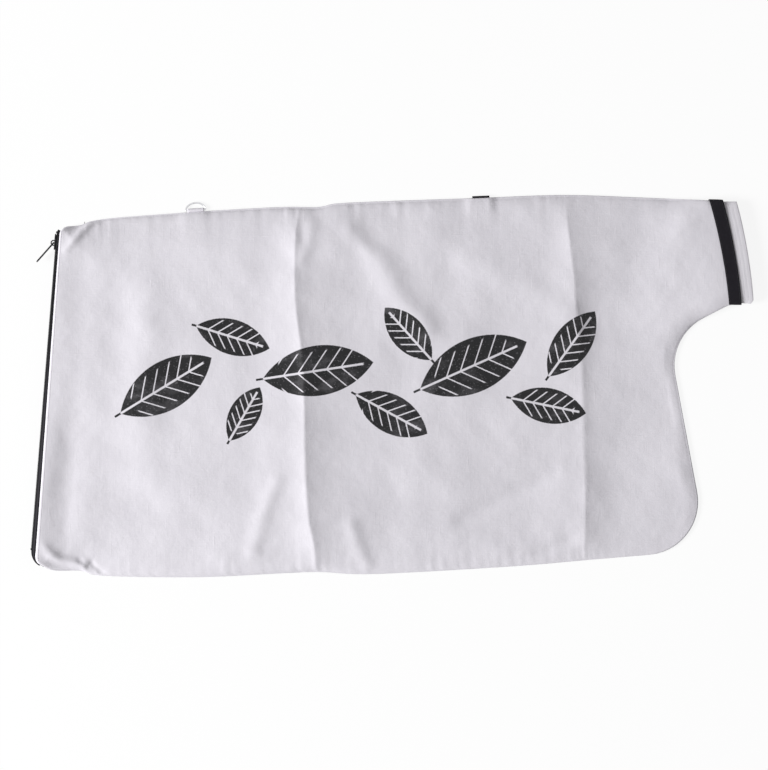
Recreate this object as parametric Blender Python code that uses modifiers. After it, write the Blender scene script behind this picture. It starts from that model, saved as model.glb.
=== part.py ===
"""Collection bag of a garden blower vacuum, empty and lying on its back panel.

Two cloth panels are sewn together all round. The far left end closes with a moulded zip that stands on
edge, and the neck at the upper right ends in a hemmed cuff with a black strap round it. Units are metres,
+X runs from the zip to the neck, +Z is up, and the origin is on the resting face near the middle of the bag.
"""

import math

import bmesh
import bpy
import numpy as np
from mathutils import Matrix, Vector

# Cloth and sewing
CLOTH = 0.0007
CLEAR = 0.0003
SEAM_LEVEL = 0.0017
FLANGE = 0.003
BODY_LOFT = 0.0130
EDGE_ROUND = 0.042
BACK_STEEP = 1.35

# Zip end of the bag
ZIP_REACH = 0.4158
ZIP_DROP = 0.0076
ZIP_LEAN = math.radians(4.6)
ZIP_STRAIGHT = 0.380
ZIP_TOP_BEND = (0.012, math.radians(48))
ZIP_LOW_BEND = (0.020, math.radians(62))
ZIP_HEM_TOP = 0.0012
ZIP_HEM_LOW = 0.0055
ZIP_HEM_LIFT = 0.0012
ZIP_CORNER = 0.005
TAPE = 0.0005
TAPE_UNDER = 0.0055

# Chain of moulded teeth
PITCH = 0.0040
TOOTH_ROOT = 0.0015
TOOTH_TIP = 0.0019
TOOTH_THICK = 0.0022
TOOTH_LAP = 0.0019
BEAD_HIGH = 0.0016
STOP_LONG = 0.0028

# Slider and pull
SLIDER_LONG = 0.0190
SLIDER_HALF = 0.0054
PLATE = 0.0009
PLATE_GAP = 0.0028
LIP = 0.0007
LIP_SLOT = 0.0013
DIAMOND_LONG = 0.0085
DIAMOND_WIDE = 0.0030
CROWN_BORE = 0.0023
CROWN_WALL = 0.0013
CROWN_WIDE = 0.0028
PULL_LONG = 0.0305
PULL_WIDE = 0.0070
PULL_THICK = 0.0016
PULL_BAR = 0.0016
PULL_SWING = math.radians(37)
PULL_HOLE = 0.0030

# Neck, cuff and strap
NECK_WIDE = 0.1255
NECK_PLACE = (0.4002, 0.1600)
NECK_TILT = math.radians(10.5)
MOUTH_WIDE = 0.1240
MOUTH_PLACE = (0.4236, 0.1594)
MOUTH_TILT = math.radians(9.5)
NECK_BOW = 0.0030
NECK_ROUND = 0.016
CUFF = 0.0012
CUFF_BORE = 0.0056
CUFF_LAP = 0.0060
CUFF_EASE = 0.0024
STRAP = 0.0010
STRAP_SLACK = 0.0008
STRAP_WIDE = 0.0160

# Outline corners on the neck side
CORNER_PLACE = (0.3760, -0.1980)
CORNER_RADIUS = 0.048
THROAT_PLACE = (0.3385, 0.0670)
THROAT_RADIUS = 0.060

# How the two long seams wander off the straight line between their ends: share of the way, offset
TOP_WANDER = ((0.036, 0.0052), (0.084, 0.0095), (0.22, 0.0130), (0.33, 0.0142), (0.39, 0.0124),
              (0.42, 0.0152), (0.515, 0.0150), (0.63, 0.0150), (0.76, 0.0148), (0.88, 0.0082))
LOW_WANDER = ((0.020, 0.0075), (0.060, 0.0075), (0.094, 0.0131), (0.235, 0.0170), (0.37, 0.0151),
              (0.42, 0.0133), (0.50, 0.0157), (0.70, 0.0108), (0.90, 0.0060))

# Press folds of the packed bag, as places along the top seam and along the lower seam
FOLD_PLACES = ((0.278, 0.334), (0.597, 0.666))
FOLD_HEIGHTS = (0.0030, 0.0026)
FOLD_WIDE = 0.016

# Loose wrinkles: start, end, height, half width
WRINKLES = (
    ((-0.042, 0.186), (0.012, 0.150), -0.0022, 0.009),
    ((-0.034, 0.172), (0.040, 0.082), 0.0018, 0.013),
    ((0.090, 0.152), (0.213, 0.087), 0.0014, 0.018),
    ((0.085, -0.160), (0.194, -0.106), -0.0018, 0.013),
    ((0.176, -0.201), (0.212, -0.185), -0.0014, 0.010),
    ((-0.356, 0.196), (-0.390, 0.162), -0.0024, 0.010),
    ((-0.424, -0.190), (-0.350, -0.221), -0.0020, 0.010),
    ((-0.137, -0.116), (-0.166, -0.197), 0.0016, 0.012),
    ((-0.047, -0.167), (-0.027, -0.220), 0.0016, 0.011),
)

# Things sewn into the top seam
RING_PLACE = 0.1605
RING_WIRE = 0.0021
RING_HALF = 0.0118
RING_DEEP = 0.0086
TAB = 0.0006
TAB_SLACK = 0.0002
TAB_WIDE = 0.0200
LOOP_PLACE = 0.5030
LOOP_WIDE = 0.0205
LOOP_WEB = 0.0009
LOOP_PROUD = 0.0024
SEWN_IN = 0.010

# Mesh rows and columns; those that fan round the lower corner leave the top seam this far from its end
ROWS_AT_ZIP = (0.0, 0.001, 0.0025, ZIP_CORNER, 0.012, 0.024)
ROWS_IN_BODY = (0.0, FLANGE, 0.007, 0.014, 0.026, 0.045)
ROWS_AT_NECK = (0.0, FLANGE, 0.006, 0.010, 0.016, 0.024)
FRONT_ROWS = 10
BACK_ROWS = 3
HEM_COLUMNS = (0.007, 0.018)
FOLD_COLUMNS = (-1.6, -0.7, -0.22, 0, 0.22, 0.7, 1.6)
COLUMN_STEP = 0.033
NECK_COLUMN_STEP = 0.0074
CORNER_FAN = (0.165, 0.100)
HEADING_REACH = 0.010
COLUMN_PULL = 0.6

# Stretches over which the bag's form takes over from the zip end and from the strapped neck
FREE_OF_ZIP = 0.060
LOFT_FROM_ZIP = 0.050
FREE_OF_STRAP = 0.030
LOFT_FROM_STRAP = 0.050
ROWS_FROM_ZIP = 0.035
FLANGE_FROM_ZIP = 0.020
HEM_FROM_ZIP = 0.018

# Heights that follow from the stack of pieces
TAPE_BEND = SLIDER_HALF + CLEAR + TAPE / 2
HEM_RISE = TAPE_BEND + TAPE / 2 + CLEAR + CLOTH
ZIP_LEVEL = ZIP_HEM_LIFT + HEM_RISE
NECK_HOLD = STRAP_WIDE * 0.75 + 0.002
BEAD_FOOT = TOOTH_LAP + CLEAR
BEAD_TOP = BEAD_FOOT + BEAD_HIGH
NECK_PANEL_HALF = CUFF_BORE / 2 + CUFF + CLEAR + CLOTH
NECK_LEVEL = NECK_PANEL_HALF + STRAP_SLACK + STRAP
SLIDER_START = ZIP_TOP_BEND[0] * ZIP_TOP_BEND[1] + SLIDER_LONG / 2
BAG_NAME = "blower_vacuum_collection_bag"


def smooth(t):
    """Eases from 0 to 1 with level ends, held outside that range."""
    t = np.clip(t, 0.0, 1.0)
    return t * t * (3 - 2 * t)


def mix(a, b, t):
    return a + (b - a) * t


# Scene, collections and materials

for old in list(bpy.data.objects):
    bpy.data.objects.remove(old, do_unlink=True)

parts = bpy.data.collections.new(BAG_NAME)
cutters = bpy.data.collections.new("cutters")
bpy.context.scene.collection.children.link(parts)
bpy.context.scene.collection.children.link(cutters)


def material(name, colour, roughness, metallic=0.0):
    made = bpy.data.materials.new(name)
    made.use_nodes = True
    shader = made.node_tree.nodes["Principled BSDF"]
    shader.inputs["Base Color"].default_value = (*colour, 1.0)
    shader.inputs["Roughness"].default_value = roughness
    shader.inputs["Metallic"].default_value = metallic
    return made


WHITE_CLOTH = material("white bag cloth", (0.68, 0.67, 0.70), 0.62)
BLACK_WEBBING = material("black webbing", (0.016, 0.015, 0.018), 0.75)
BLACK_TAPE = material("black zip tape", (0.030, 0.030, 0.033), 0.80)
BLACK_RESIN = material("black moulded resin", (0.012, 0.012, 0.013), 0.40)
BLACK_METAL = material("black coated slider metal", (0.020, 0.020, 0.022), 0.35, 0.3)
CHROME = material("bright plated wire", (0.75, 0.75, 0.77), 0.15, 1.0)


def place(mesh, name, look, home=parts):
    """Puts a mesh in the scene as one named piece."""
    piece = bpy.data.objects.new(name, mesh)
    if look:
        mesh.materials.append(look)
    home.objects.link(piece)
    return piece


def grid_mesh(name, points, closed=False):
    """Joins a grid of points, rows by columns, with quads; closed joins the last column to the first."""
    rows, columns = points.shape[:2]
    number = np.arange(rows * columns).reshape(rows, columns)
    if closed:
        number = np.hstack([number, number[:, :1]])
    faces = np.stack([number[:-1, :-1], number[1:, :-1], number[1:, 1:], number[:-1, 1:]], axis=-1)
    mesh = bpy.data.meshes.new(name)
    mesh.from_pydata(points.reshape(-1, 3).tolist(), [], faces.reshape(-1, 4).tolist())
    mesh.shade_smooth()
    return mesh


def thicken(piece, thickness, offset):
    solid = piece.modifiers.new("thickness", "SOLIDIFY")
    solid.thickness = thickness
    solid.offset = offset
    return solid


# Outline of the bag

class Path:
    """A polyline in plan that can be read at any distance along it."""

    def __init__(self, points):
        self.points = np.array(points, dtype=float)
        steps = np.linalg.norm(np.diff(self.points, axis=0), axis=1)
        self.along = np.concatenate([[0.0], np.cumsum(steps)])
        self.length = self.along[-1]

    def at(self, distance):
        x = np.interp(distance, self.along, self.points[:, 0])
        y = np.interp(distance, self.along, self.points[:, 1])
        return np.stack([x, y], axis=-1)

    def heading(self, distance, reach=0.0008):
        """Unit direction of travel, read over a short stretch."""
        way = self.at(np.add(distance, reach)) - self.at(np.subtract(distance, reach))
        return way / np.linalg.norm(way, axis=-1, keepdims=True)


def through(points, steps=8):
    """A smooth Catmull-Rom curve through hand-chosen points."""
    p = np.array(points, dtype=float)
    p = np.vstack([2 * p[0] - p[1], p, 2 * p[-1] - p[-2]])
    t = (np.arange(steps) / steps)[:, None]
    spans = []
    for a, b, c, d in zip(p[:-3], p[1:-2], p[2:-1], p[3:]):
        spans.append(0.5 * (2 * b + (c - a) * t + (2 * a - 5 * b + 4 * c - d) * t**2
                            + (3 * b - a - 3 * c + d) * t**3))
    return np.vstack(spans + [p[-2:-1]])


def wandering(start, end, offsets, side):
    """Points off the straight line from start to end, moved sideways by named offsets."""
    start, end = np.array(start), np.array(end)
    way = end - start
    across = np.array([-way[1], way[0]]) / np.linalg.norm(way) * side
    return [start] + [start + way * share + across * off for share, off in offsets]


def fillet(before, corner, after, radius, steps=10):
    """Arc of the given radius that rounds a corner between two straight lines."""
    before, corner, after = np.array(before), np.array(corner), np.array(after)
    a = (before - corner) / np.linalg.norm(before - corner)
    b = (after - corner) / np.linalg.norm(after - corner)
    half = math.acos(float(np.clip(a @ b, -1, 1))) / 2
    middle = (a + b) / np.linalg.norm(a + b)
    centre = corner + middle * radius / math.sin(half)
    first = corner + a * radius / math.tan(half) - centre
    last = corner + b * radius / math.tan(half) - centre
    start = math.atan2(first[1], first[0])
    sweep = math.atan2(last[1], last[0]) - start
    sweep = (sweep + math.pi) % (2 * math.pi) - math.pi
    turn = start + sweep * np.arange(steps + 1) / steps
    return centre + radius * np.stack([np.cos(turn), np.sin(turn)], axis=-1)


def bend(start, heading, radius, angle, steps=7):
    """Arc that leaves a point in a heading and curves to the left, in plan."""
    turn = angle * np.arange(1, steps + 1) / steps
    side = np.array([-heading[1], heading[0]])
    return start + radius * (np.sin(turn)[:, None] * heading + (1 - np.cos(turn))[:, None] * side)


chain_down = np.array([-math.sin(ZIP_LEAN), -math.cos(ZIP_LEAN)])
chain_middle = np.array([-ZIP_REACH, -ZIP_DROP])
chain_top = chain_middle - chain_down * ZIP_STRAIGHT / 2
chain_foot = chain_middle + chain_down * ZIP_STRAIGHT / 2
mirror = np.array([1, -1])
upper_arc = bend(chain_top * mirror, -chain_down * mirror, *ZIP_TOP_BEND) * mirror
lower_arc = bend(chain_foot, chain_down, *ZIP_LOW_BEND)
zip_path = Path(np.vstack([upper_arc[::-1], chain_top, chain_foot, lower_arc]))
zip_end = zip_path.length
chain_end = zip_end - ZIP_LOW_BEND[0] * ZIP_LOW_BEND[1]


def hem_offset(s):
    """How far the cloth's hem stands back from the plane of the teeth."""
    return mix(ZIP_HEM_TOP, ZIP_HEM_LOW, smooth(np.asarray(s) / zip_end))


def beside_zip(s, inward):
    """Plan point at a distance along the zip, moved into the bag."""
    way = zip_path.heading(np.clip(s, 0.001, zip_end - 0.001))
    return zip_path.at(s) + np.stack([-way[..., 1], way[..., 0]], axis=-1) * np.asarray(inward)[..., None]


def neck_point(w, q, z):
    """Point on the neck: w is 0 at the strap and 1 at the mouth, q runs from -1 to 1 over the width."""
    w, q = np.broadcast_arrays(w, q)
    tilt = mix(NECK_TILT, MOUTH_TILT, w)
    half = mix(NECK_WIDE, MOUTH_WIDE, np.clip(w, 0, 1)) / 2
    out = NECK_BOW * (1 - q**2)
    x = mix(NECK_PLACE[0], MOUTH_PLACE[0], w) - np.sin(tilt) * q * half + out
    y = mix(NECK_PLACE[1], MOUTH_PLACE[1], w) + np.cos(tilt) * q * half
    return np.stack(np.broadcast_arrays(x, y, z), axis=-1)


NECK_STEP = MOUTH_PLACE[0] - NECK_PLACE[0]
panel_end = STRAP_WIDE / 4 / NECK_STEP
strap_half = STRAP_WIDE / 2 / NECK_STEP
cuff_start = -CUFF_LAP / NECK_STEP

corner_left_top = beside_zip(0.0, hem_offset(0.0))
corner_left_low = beside_zip(zip_end, hem_offset(zip_end))
corner_neck_top = neck_point(panel_end, 1.0, 0.0)[:2]
corner_neck_low = neck_point(panel_end, -1.0, 0.0)[:2]

top_seam = Path(through(wandering(corner_left_top, corner_neck_top, TOP_WANDER, 1) + [corner_neck_top]))
low_points = wandering(corner_left_low, CORNER_PLACE, LOW_WANDER, -1)
low_arc = fillet(low_points[-1], CORNER_PLACE, THROAT_PLACE, CORNER_RADIUS)
before_strap = neck_point(panel_end - NECK_HOLD / NECK_STEP, -1.0, 0.0)[:2]
throat_arc = fillet(CORNER_PLACE, THROAT_PLACE, before_strap, THROAT_RADIUS)
low_seam = Path(np.vstack([through(low_points[:-1] + [mix(low_points[-2], low_arc[0], 0.6), low_arc[0]]),
                           low_arc[1:], throat_arc, [before_strap, corner_neck_low]]))
low_before_arc = Path(low_seam.points[: -len(low_arc) - len(throat_arc) - 1]).length
low_after_arc = low_before_arc + Path(low_arc).length


# Both panels share one way of naming places: a column from the top seam to the lower one

TOP_KNOTS = (0.0, FOLD_PLACES[0][0], FOLD_PLACES[1][0], top_seam.length - CORNER_FAN[0],
             top_seam.length - CORNER_FAN[1], top_seam.length - NECK_HOLD, top_seam.length)
LOW_KNOTS = (0.0, FOLD_PLACES[0][1], FOLD_PLACES[1][1], low_before_arc, low_after_arc,
             low_seam.length - NECK_HOLD, low_seam.length)


def column_places():
    """Distances along the top seam where the panels have a column of points."""
    marks = [0.0, *HEM_COLUMNS]
    for centre, _ in FOLD_PLACES:
        marks += [centre + k * FOLD_WIDE for k in FOLD_COLUMNS]
    for centre, wide in ((RING_PLACE, TAB_WIDE), (LOOP_PLACE, LOOP_WIDE)):
        marks += [centre - wide, centre - wide / 2 - 2 * CLEAR, centre + wide / 2 + 2 * CLEAR, centre + wide]
    marks += list(TOP_KNOTS[3:])
    marks = sorted(marks)
    places = []
    for a, b in zip(marks[:-1], marks[1:]):
        step = NECK_COLUMN_STEP if a >= TOP_KNOTS[3] - CLEAR else COLUMN_STEP
        count = max(1, math.ceil((b - a) / step - 0.25))
        places += [mix(a, b, k / count) for k in range(count)]
    return np.array(places + [marks[-1]])


columns = column_places()
low_columns = np.interp(columns, TOP_KNOTS, LOW_KNOTS)
share_along = columns / top_seam.length


def past_strap(distance, length, over):
    """0 where the strap holds the neck flat, easing to 1 over a stretch of the bag beyond it."""
    return smooth((length - distance - NECK_HOLD) / over)


def row_shares(count, pull):
    """Where each column has its points: set distances from both seams, evenly spread between them."""
    near_zip = smooth(columns / ROWS_FROM_ZIP)
    near_neck = past_strap(columns, top_seam.length, LOFT_FROM_STRAP)
    shares = []
    edge = []
    for k in range(len(ROWS_IN_BODY)):
        body = mix(ROWS_AT_NECK[k], ROWS_IN_BODY[k], near_neck)
        edge.append(mix(ROWS_AT_ZIP[k], body, near_zip) / pull)
    shares += edge
    for k in range(1, count):
        shares.append(mix(edge[-1], 1 - edge[-1], k / count))
    shares += [1 - e for e in edge[::-1]]
    return np.array(shares)


def square_to(seam, places, way, free):
    """Turns the ways of the columns square to a seam, except near the zip and under the strap."""
    heading = seam.heading(np.clip(places, HEADING_REACH, seam.length - HEADING_REACH), HEADING_REACH)
    inward = np.column_stack([heading[:, 1], -heading[:, 0]])
    return mix(way, inward * COLUMN_PULL * np.linalg.norm(way, axis=1, keepdims=True), free[:, None])


def plan_grid(count):
    """Plan points, rows from the top seam to the lower seam by columns from the zip to the neck."""
    top, low = top_seam.at(columns), low_seam.at(low_columns)
    free = smooth(columns / FREE_OF_ZIP) * past_strap(columns, top_seam.length, FREE_OF_STRAP)
    leave = square_to(top_seam, columns, low - top, free)
    arrive = square_to(low_seam, low_columns, low - top, free)
    v = row_shares(count, np.linalg.norm(top - low, axis=1) * mix(1.0, COLUMN_PULL, free))
    s = v[:, 0] * zip_end
    left = beside_zip(s, hem_offset(s)) - mix(top[0], low[0], v[:, :1])
    end = neck_point(panel_end, 1 - 2 * v[:, -1], 0.0)[:, :2] - mix(top[-1], low[-1], v[:, -1:])
    v3 = v[:, :, None]
    ruled = mix(top[None], low[None], v3**2 * (3 - 2 * v3))
    ruled = ruled + v3 * (1 - v3) ** 2 * leave[None] - v3**2 * (1 - v3) * arrive[None]
    return ruled + mix(left[:, None], end[:, None], share_along[None, :, None]), v


def rim_level(distance, length):
    """Height of the seam line: up at the zip and at the neck, near the floor between."""
    at_zip = 1 - smooth(distance / FREE_OF_ZIP)
    at_neck = 1 - past_strap(distance, length, LOFT_FROM_STRAP)
    return SEAM_LEVEL + (ZIP_LEVEL - SEAM_LEVEL) * at_zip + (NECK_LEVEL - SEAM_LEVEL) * at_neck


def sewn_lift():
    """Room made in the top seam for the ring's tab and for the webbing loop."""
    lift = np.zeros_like(columns)
    for centre, wide, strip in ((RING_PLACE, TAB_WIDE, TAB), (LOOP_PLACE, LOOP_WIDE, LOOP_WEB)):
        beyond = np.abs(columns - centre) - wide / 2 - 3 * CLEAR
        lift += 2 * (strip + CLEAR) * (1 - smooth(beyond / (wide / 2 - 3 * CLEAR)))
    return lift


def rise(distance, flange, wide, power=2.2):
    """Share of the loft reached at a distance inside a seam: a flat flange, then a rounded shoulder."""
    inside = np.clip((distance - flange) / wide, 0.0, 1.0)
    return (1 - (1 - inside) ** power) ** (1 / power)


def panel_frame(count):
    """Plan points with the distances to both seams and the values that shape both panels."""
    plan, v = plan_grid(count)
    steps = np.linalg.norm(np.diff(plan, axis=0), axis=2)
    to_top = np.vstack([np.zeros_like(columns), np.cumsum(steps, axis=0)])
    to_low = to_top[-1] - to_top
    near_zip = smooth(columns / LOFT_FROM_ZIP)
    near_neck = past_strap(columns, top_seam.length, LOFT_FROM_STRAP)
    flange = FLANGE * smooth(columns / FLANGE_FROM_ZIP)
    wide = mix(NECK_ROUND, mix(ZIP_CORNER, EDGE_ROUND, near_zip), near_neck)
    levels = (rim_level(columns, top_seam.length), rim_level(low_columns, low_seam.length))
    rim = mix(levels[0], levels[1], smooth(v))
    full = rise(to_top, flange, wide) * rise(to_low, flange, wide)
    return plan, v, np.minimum(to_top, to_low), rim, full, near_zip, near_neck


def wrinkle_field(x, y):
    """Adds up the loose wrinkles: each is a soft ridge or furrow along a short line."""
    total = np.zeros_like(x)
    for start, end, height, half in WRINKLES:
        start, end = np.array(start), np.array(end)
        way = end - start
        long = np.linalg.norm(way)
        along = ((x - start[0]) * way[0] + (y - start[1]) * way[1]) / long
        off = ((x - start[0]) * way[1] - (y - start[1]) * way[0]) / long
        past = np.maximum(np.maximum(-along, along - long), 0.0)
        total += height * np.exp(-(off / half) ** 2 - (past / (1.6 * half)) ** 2)
    return total


def fold_field():
    """Height of the two press folds at each column, sharp ridges that run from seam to seam."""
    total = np.zeros_like(columns)
    for (place_top, _), height in zip(FOLD_PLACES, FOLD_HEIGHTS):
        total += height * np.exp(-np.abs(columns - place_top) / FOLD_WIDE)
    return total


def front_points():
    """Outer surface of the front panel."""
    plan, v, inside, rim, full, near_zip, near_neck = panel_frame(FRONT_ROWS)
    crown = mix(ZIP_LEVEL + HEM_RISE, BODY_LOFT, near_zip)
    crown = mix(NECK_LEVEL + NECK_PANEL_HALF, crown, near_neck)
    rim_top = rim + CLEAR / 2 + CLOTH + sewn_lift()[None, :] * (1 - smooth(v * 2))
    z = rim_top + (crown - rim_top) * full
    loose = smooth(columns / FREE_OF_STRAP) * near_neck * smooth(inside / FREE_OF_STRAP)
    z += loose * (fold_field() + wrinkle_field(plan[..., 0], plan[..., 1]))
    return np.concatenate([plan, z[..., None]], axis=-1), v[:, 0]


def back_points():
    """Outer surface of the back panel, flat on the floor away from its rims."""
    plan, v, _, rim, full, _, near_neck = panel_frame(BACK_ROWS)
    rim_low = rim - CLEAR / 2 - CLOTH
    at_zip = ZIP_HEM_LIFT * (1 - smooth(columns / HEM_FROM_ZIP))
    at_neck = (NECK_LEVEL - NECK_PANEL_HALF) * (1 - past_strap(columns, top_seam.length, FREE_OF_STRAP))
    base = at_zip + at_neck
    quick = np.minimum(1.0, full * mix(1.0, BACK_STEEP, near_neck))
    z = rim_low + (base - rim_low) * quick
    return np.concatenate([plan, z[..., None]], axis=-1), v[:, 0]


front, front_shares = front_points()
back, back_shares = back_points()

front_panel = place(grid_mesh("front_panel", front), "front_panel", WHITE_CLOTH)
thicken(front_panel, CLOTH, -1)
back_panel = place(grid_mesh("back_panel", back[:, ::-1]), "back_panel", WHITE_CLOTH)
thicken(back_panel, CLOTH, -1)
flat_middle = back_panel.modifiers.new("one face where the cloth lies flat", "DECIMATE")
flat_middle.decimate_type = "DISSOLVE"
flat_middle.angle_limit = math.radians(0.02)


# Zip tapes: they stand on edge beside the teeth, then fold over and run in under the hem

def zip_tape(name, panel, shares, side):
    """side is 1 for the upper tape, which runs under the front panel, and -1 for the lower one."""
    rows = slice(3, len(panel) - 4)
    hem, next_in = panel[rows, 0], panel[rows, 1]
    s = shares[rows] * zip_end
    seat = side * (CLOTH + CLEAR + TAPE / 2)
    reach = TAPE_UNDER / (columns[1] - columns[0])
    plane = zip_path.at(s)
    bead_side = np.column_stack([plane, np.full(len(s), ZIP_LEVEL + side * (BEAD_TOP + CLEAR))])
    folded = np.column_stack([plane, np.full(len(s), ZIP_LEVEL + side * TAPE_BEND)])
    under_hem = hem - np.array([0, 0, seat])
    under = mix(hem, next_in, min(reach, 1.0)) - np.array([0, 0, seat])
    strip = np.stack([bead_side, folded, under_hem, under], axis=1)
    tape = place(grid_mesh(name, strip if side > 0 else strip[:, ::-1]), name, BLACK_TAPE)
    thicken(tape, TAPE, 0)
    return tape


zip_tape("zip_tape_upper", front, front_shares, 1)
zip_tape("zip_tape_lower", back, back_shares, -1)


# Teeth: each row is one comb of bead and teeth, moulded on the tape's edge

def comb_outline(first, last, offset):
    """Outline of one comb: distance down the chain against height above the chain's middle."""
    outline = [(first, BEAD_TOP), (first, BEAD_FOOT)]
    place_now = first + offset + PITCH / 4
    while place_now + TOOTH_TIP / 2 + CLEAR < last:
        outline += [(place_now - TOOTH_ROOT / 2, BEAD_FOOT), (place_now - TOOTH_TIP / 2, -TOOTH_LAP),
                    (place_now + TOOTH_TIP / 2, -TOOTH_LAP), (place_now + TOOTH_ROOT / 2, BEAD_FOOT)]
        place_now += PITCH
    return outline + [(last, BEAD_FOOT), (last, BEAD_TOP)]


def flat_solid(name, outline, thick, look, home=parts):
    """A flat closed outline, made solid by extruding its face; the outline lies in local Y and Z."""
    bm = bmesh.new()
    ring = [bm.verts.new((-thick / 2, y, z)) for y, z in outline]
    face = bm.faces.new(ring)
    grown = bmesh.ops.extrude_face_region(bm, geom=[face])
    moved = [v for v in grown["geom"] if isinstance(v, bmesh.types.BMVert)]
    bmesh.ops.translate(bm, verts=moved, vec=(thick, 0, 0))
    bmesh.ops.recalc_face_normals(bm, faces=bm.faces)
    mesh = bpy.data.meshes.new(name)
    bm.to_mesh(mesh)
    bm.free()
    return place(mesh, name, look, home=home)


def on_chain(piece, s, level=ZIP_LEVEL):
    """Sets a piece made with local Y up the chain and local X into the bag at a distance down the zip."""
    x, y = zip_path.at(s)
    way = zip_path.heading(s)
    piece.location = (x, y, level)
    piece.rotation_euler = (0, 0, math.atan2(way[0], -way[1]))
    return piece


teeth_end = chain_end - STOP_LONG - 2 * CLEAR
teeth_long = teeth_end - SLIDER_START
for name, side in (("zip_teeth_upper", 1), ("zip_teeth_lower", -1)):
    outline = comb_outline(0.0, teeth_long, 0.0 if side > 0 else PITCH / 2)
    comb = flat_solid(name, [(-down, side * high) for down, high in outline], TOOTH_THICK, BLACK_RESIN)
    on_chain(comb, SLIDER_START)


def rounded_block(name, size, radius, look):
    """A block with its edges rounded."""
    bm = bmesh.new()
    bmesh.ops.create_cube(bm, size=1.0, matrix=Matrix.Diagonal((*size, 1.0)))
    mesh = bpy.data.meshes.new(name)
    bm.to_mesh(mesh)
    bm.free()
    block = place(mesh, name, look)
    edge = block.modifiers.new("rounded edges", "BEVEL")
    edge.width = radius
    edge.segments = 1
    return block


stop_thick = TOOTH_THICK + PLATE / 2
bottom_stop = rounded_block("zip_bottom_stop", (stop_thick, STOP_LONG, 2 * BEAD_TOP), 0.0004, BLACK_RESIN)
on_chain(bottom_stop, chain_end - STOP_LONG / 2)
stop_place = SLIDER_START - SLIDER_LONG / 2 - CLEAR - STOP_LONG / 2
for name, side in (("zip_top_stop_upper", 1), ("zip_top_stop_lower", -1)):
    stop = rounded_block(name, (stop_thick, STOP_LONG, BEAD_HIGH + TOOTH_LAP / 2), 0.0004, BLACK_RESIN)
    on_chain(stop, stop_place, ZIP_LEVEL + side * (BEAD_TOP - (BEAD_HIGH + TOOTH_LAP / 2) / 2))


# Slider: two plates with lips turned in round the teeth, a diamond between them and a crown for the pull

def apply_modifiers(piece):
    """Replaces a piece's mesh by what its modifiers make of it."""
    seen = piece.evaluated_get(bpy.context.evaluated_depsgraph_get())
    done = bpy.data.meshes.new_from_object(seen)
    piece.modifiers.clear()
    piece.data = done


def join(target, others):
    """Union of overlapping solids, so that they are one casting."""
    for other in others:
        other.hide_render = True
        other.display_type = "WIRE"
        union = target.modifiers.new("cast on", "BOOLEAN")
        union.operation = "UNION"
        union.object = other
    bpy.context.view_layer.update()
    apply_modifiers(target)
    for other in others:
        bpy.data.objects.remove(other, do_unlink=True)


def plate_outline(long, half):
    """Slider plate seen from the front: rounded shoulders at the top, a little narrower at the mouth."""
    top, foot = long / 2, -long / 2
    return [(foot, -half * 0.82), (foot, half * 0.82), (foot + long * 0.12, half), (top * 0.55, half),
            (top * 0.86, half * 0.72), (top, half * 0.34), (top, -half * 0.34), (top * 0.86, -half * 0.72),
            (top * 0.55, -half), (foot + long * 0.12, -half)]


def box_between(name, low, high):
    """A plain block given by two opposite corners."""
    low, high = Vector(low), Vector(high)
    bm = bmesh.new()
    bmesh.ops.create_cube(bm, size=1.0, matrix=Matrix.Translation((low + high) / 2)
                          @ Matrix.Diagonal((*(high - low), 1.0)))
    mesh = bpy.data.meshes.new(name)
    bm.to_mesh(mesh)
    bm.free()
    return place(mesh, name, None, home=cutters)


def crown(name):
    """The arch that the pull's bar turns in: a half ring on two short legs."""
    outer = CROWN_BORE + CROWN_WALL
    turn = np.linspace(0, math.pi, 9)
    leg = PULL_BAR / 2 + CLEAR + PLATE / 2
    outside = [(leg, outer)] + [(-outer * math.sin(a), outer * math.cos(a)) for a in turn] + [(leg, -outer)]
    inside = [(leg, CROWN_BORE)] + [(-CROWN_BORE * math.sin(a), CROWN_BORE * math.cos(a)) for a in turn]
    inside += [(leg, -CROWN_BORE)]
    bm = bmesh.new()
    ring = [bm.verts.new((x, y, -CROWN_WIDE / 2)) for x, y in outside + inside[::-1]]
    grown = bmesh.ops.extrude_face_region(bm, geom=[bm.faces.new(ring)])
    moved = [v for v in grown["geom"] if isinstance(v, bmesh.types.BMVert)]
    bmesh.ops.translate(bm, verts=moved, vec=(0, 0, CROWN_WIDE))
    bmesh.ops.recalc_face_normals(bm, faces=bm.faces)
    mesh = bpy.data.meshes.new(name)
    bm.to_mesh(mesh)
    bm.free()
    return place(mesh, name, None, home=cutters)


plate_face = PLATE_GAP / 2 + PLATE
axis_out = plate_face + CLEAR + PULL_BAR / 2
crown_place = -SLIDER_LONG * 0.08

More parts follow.
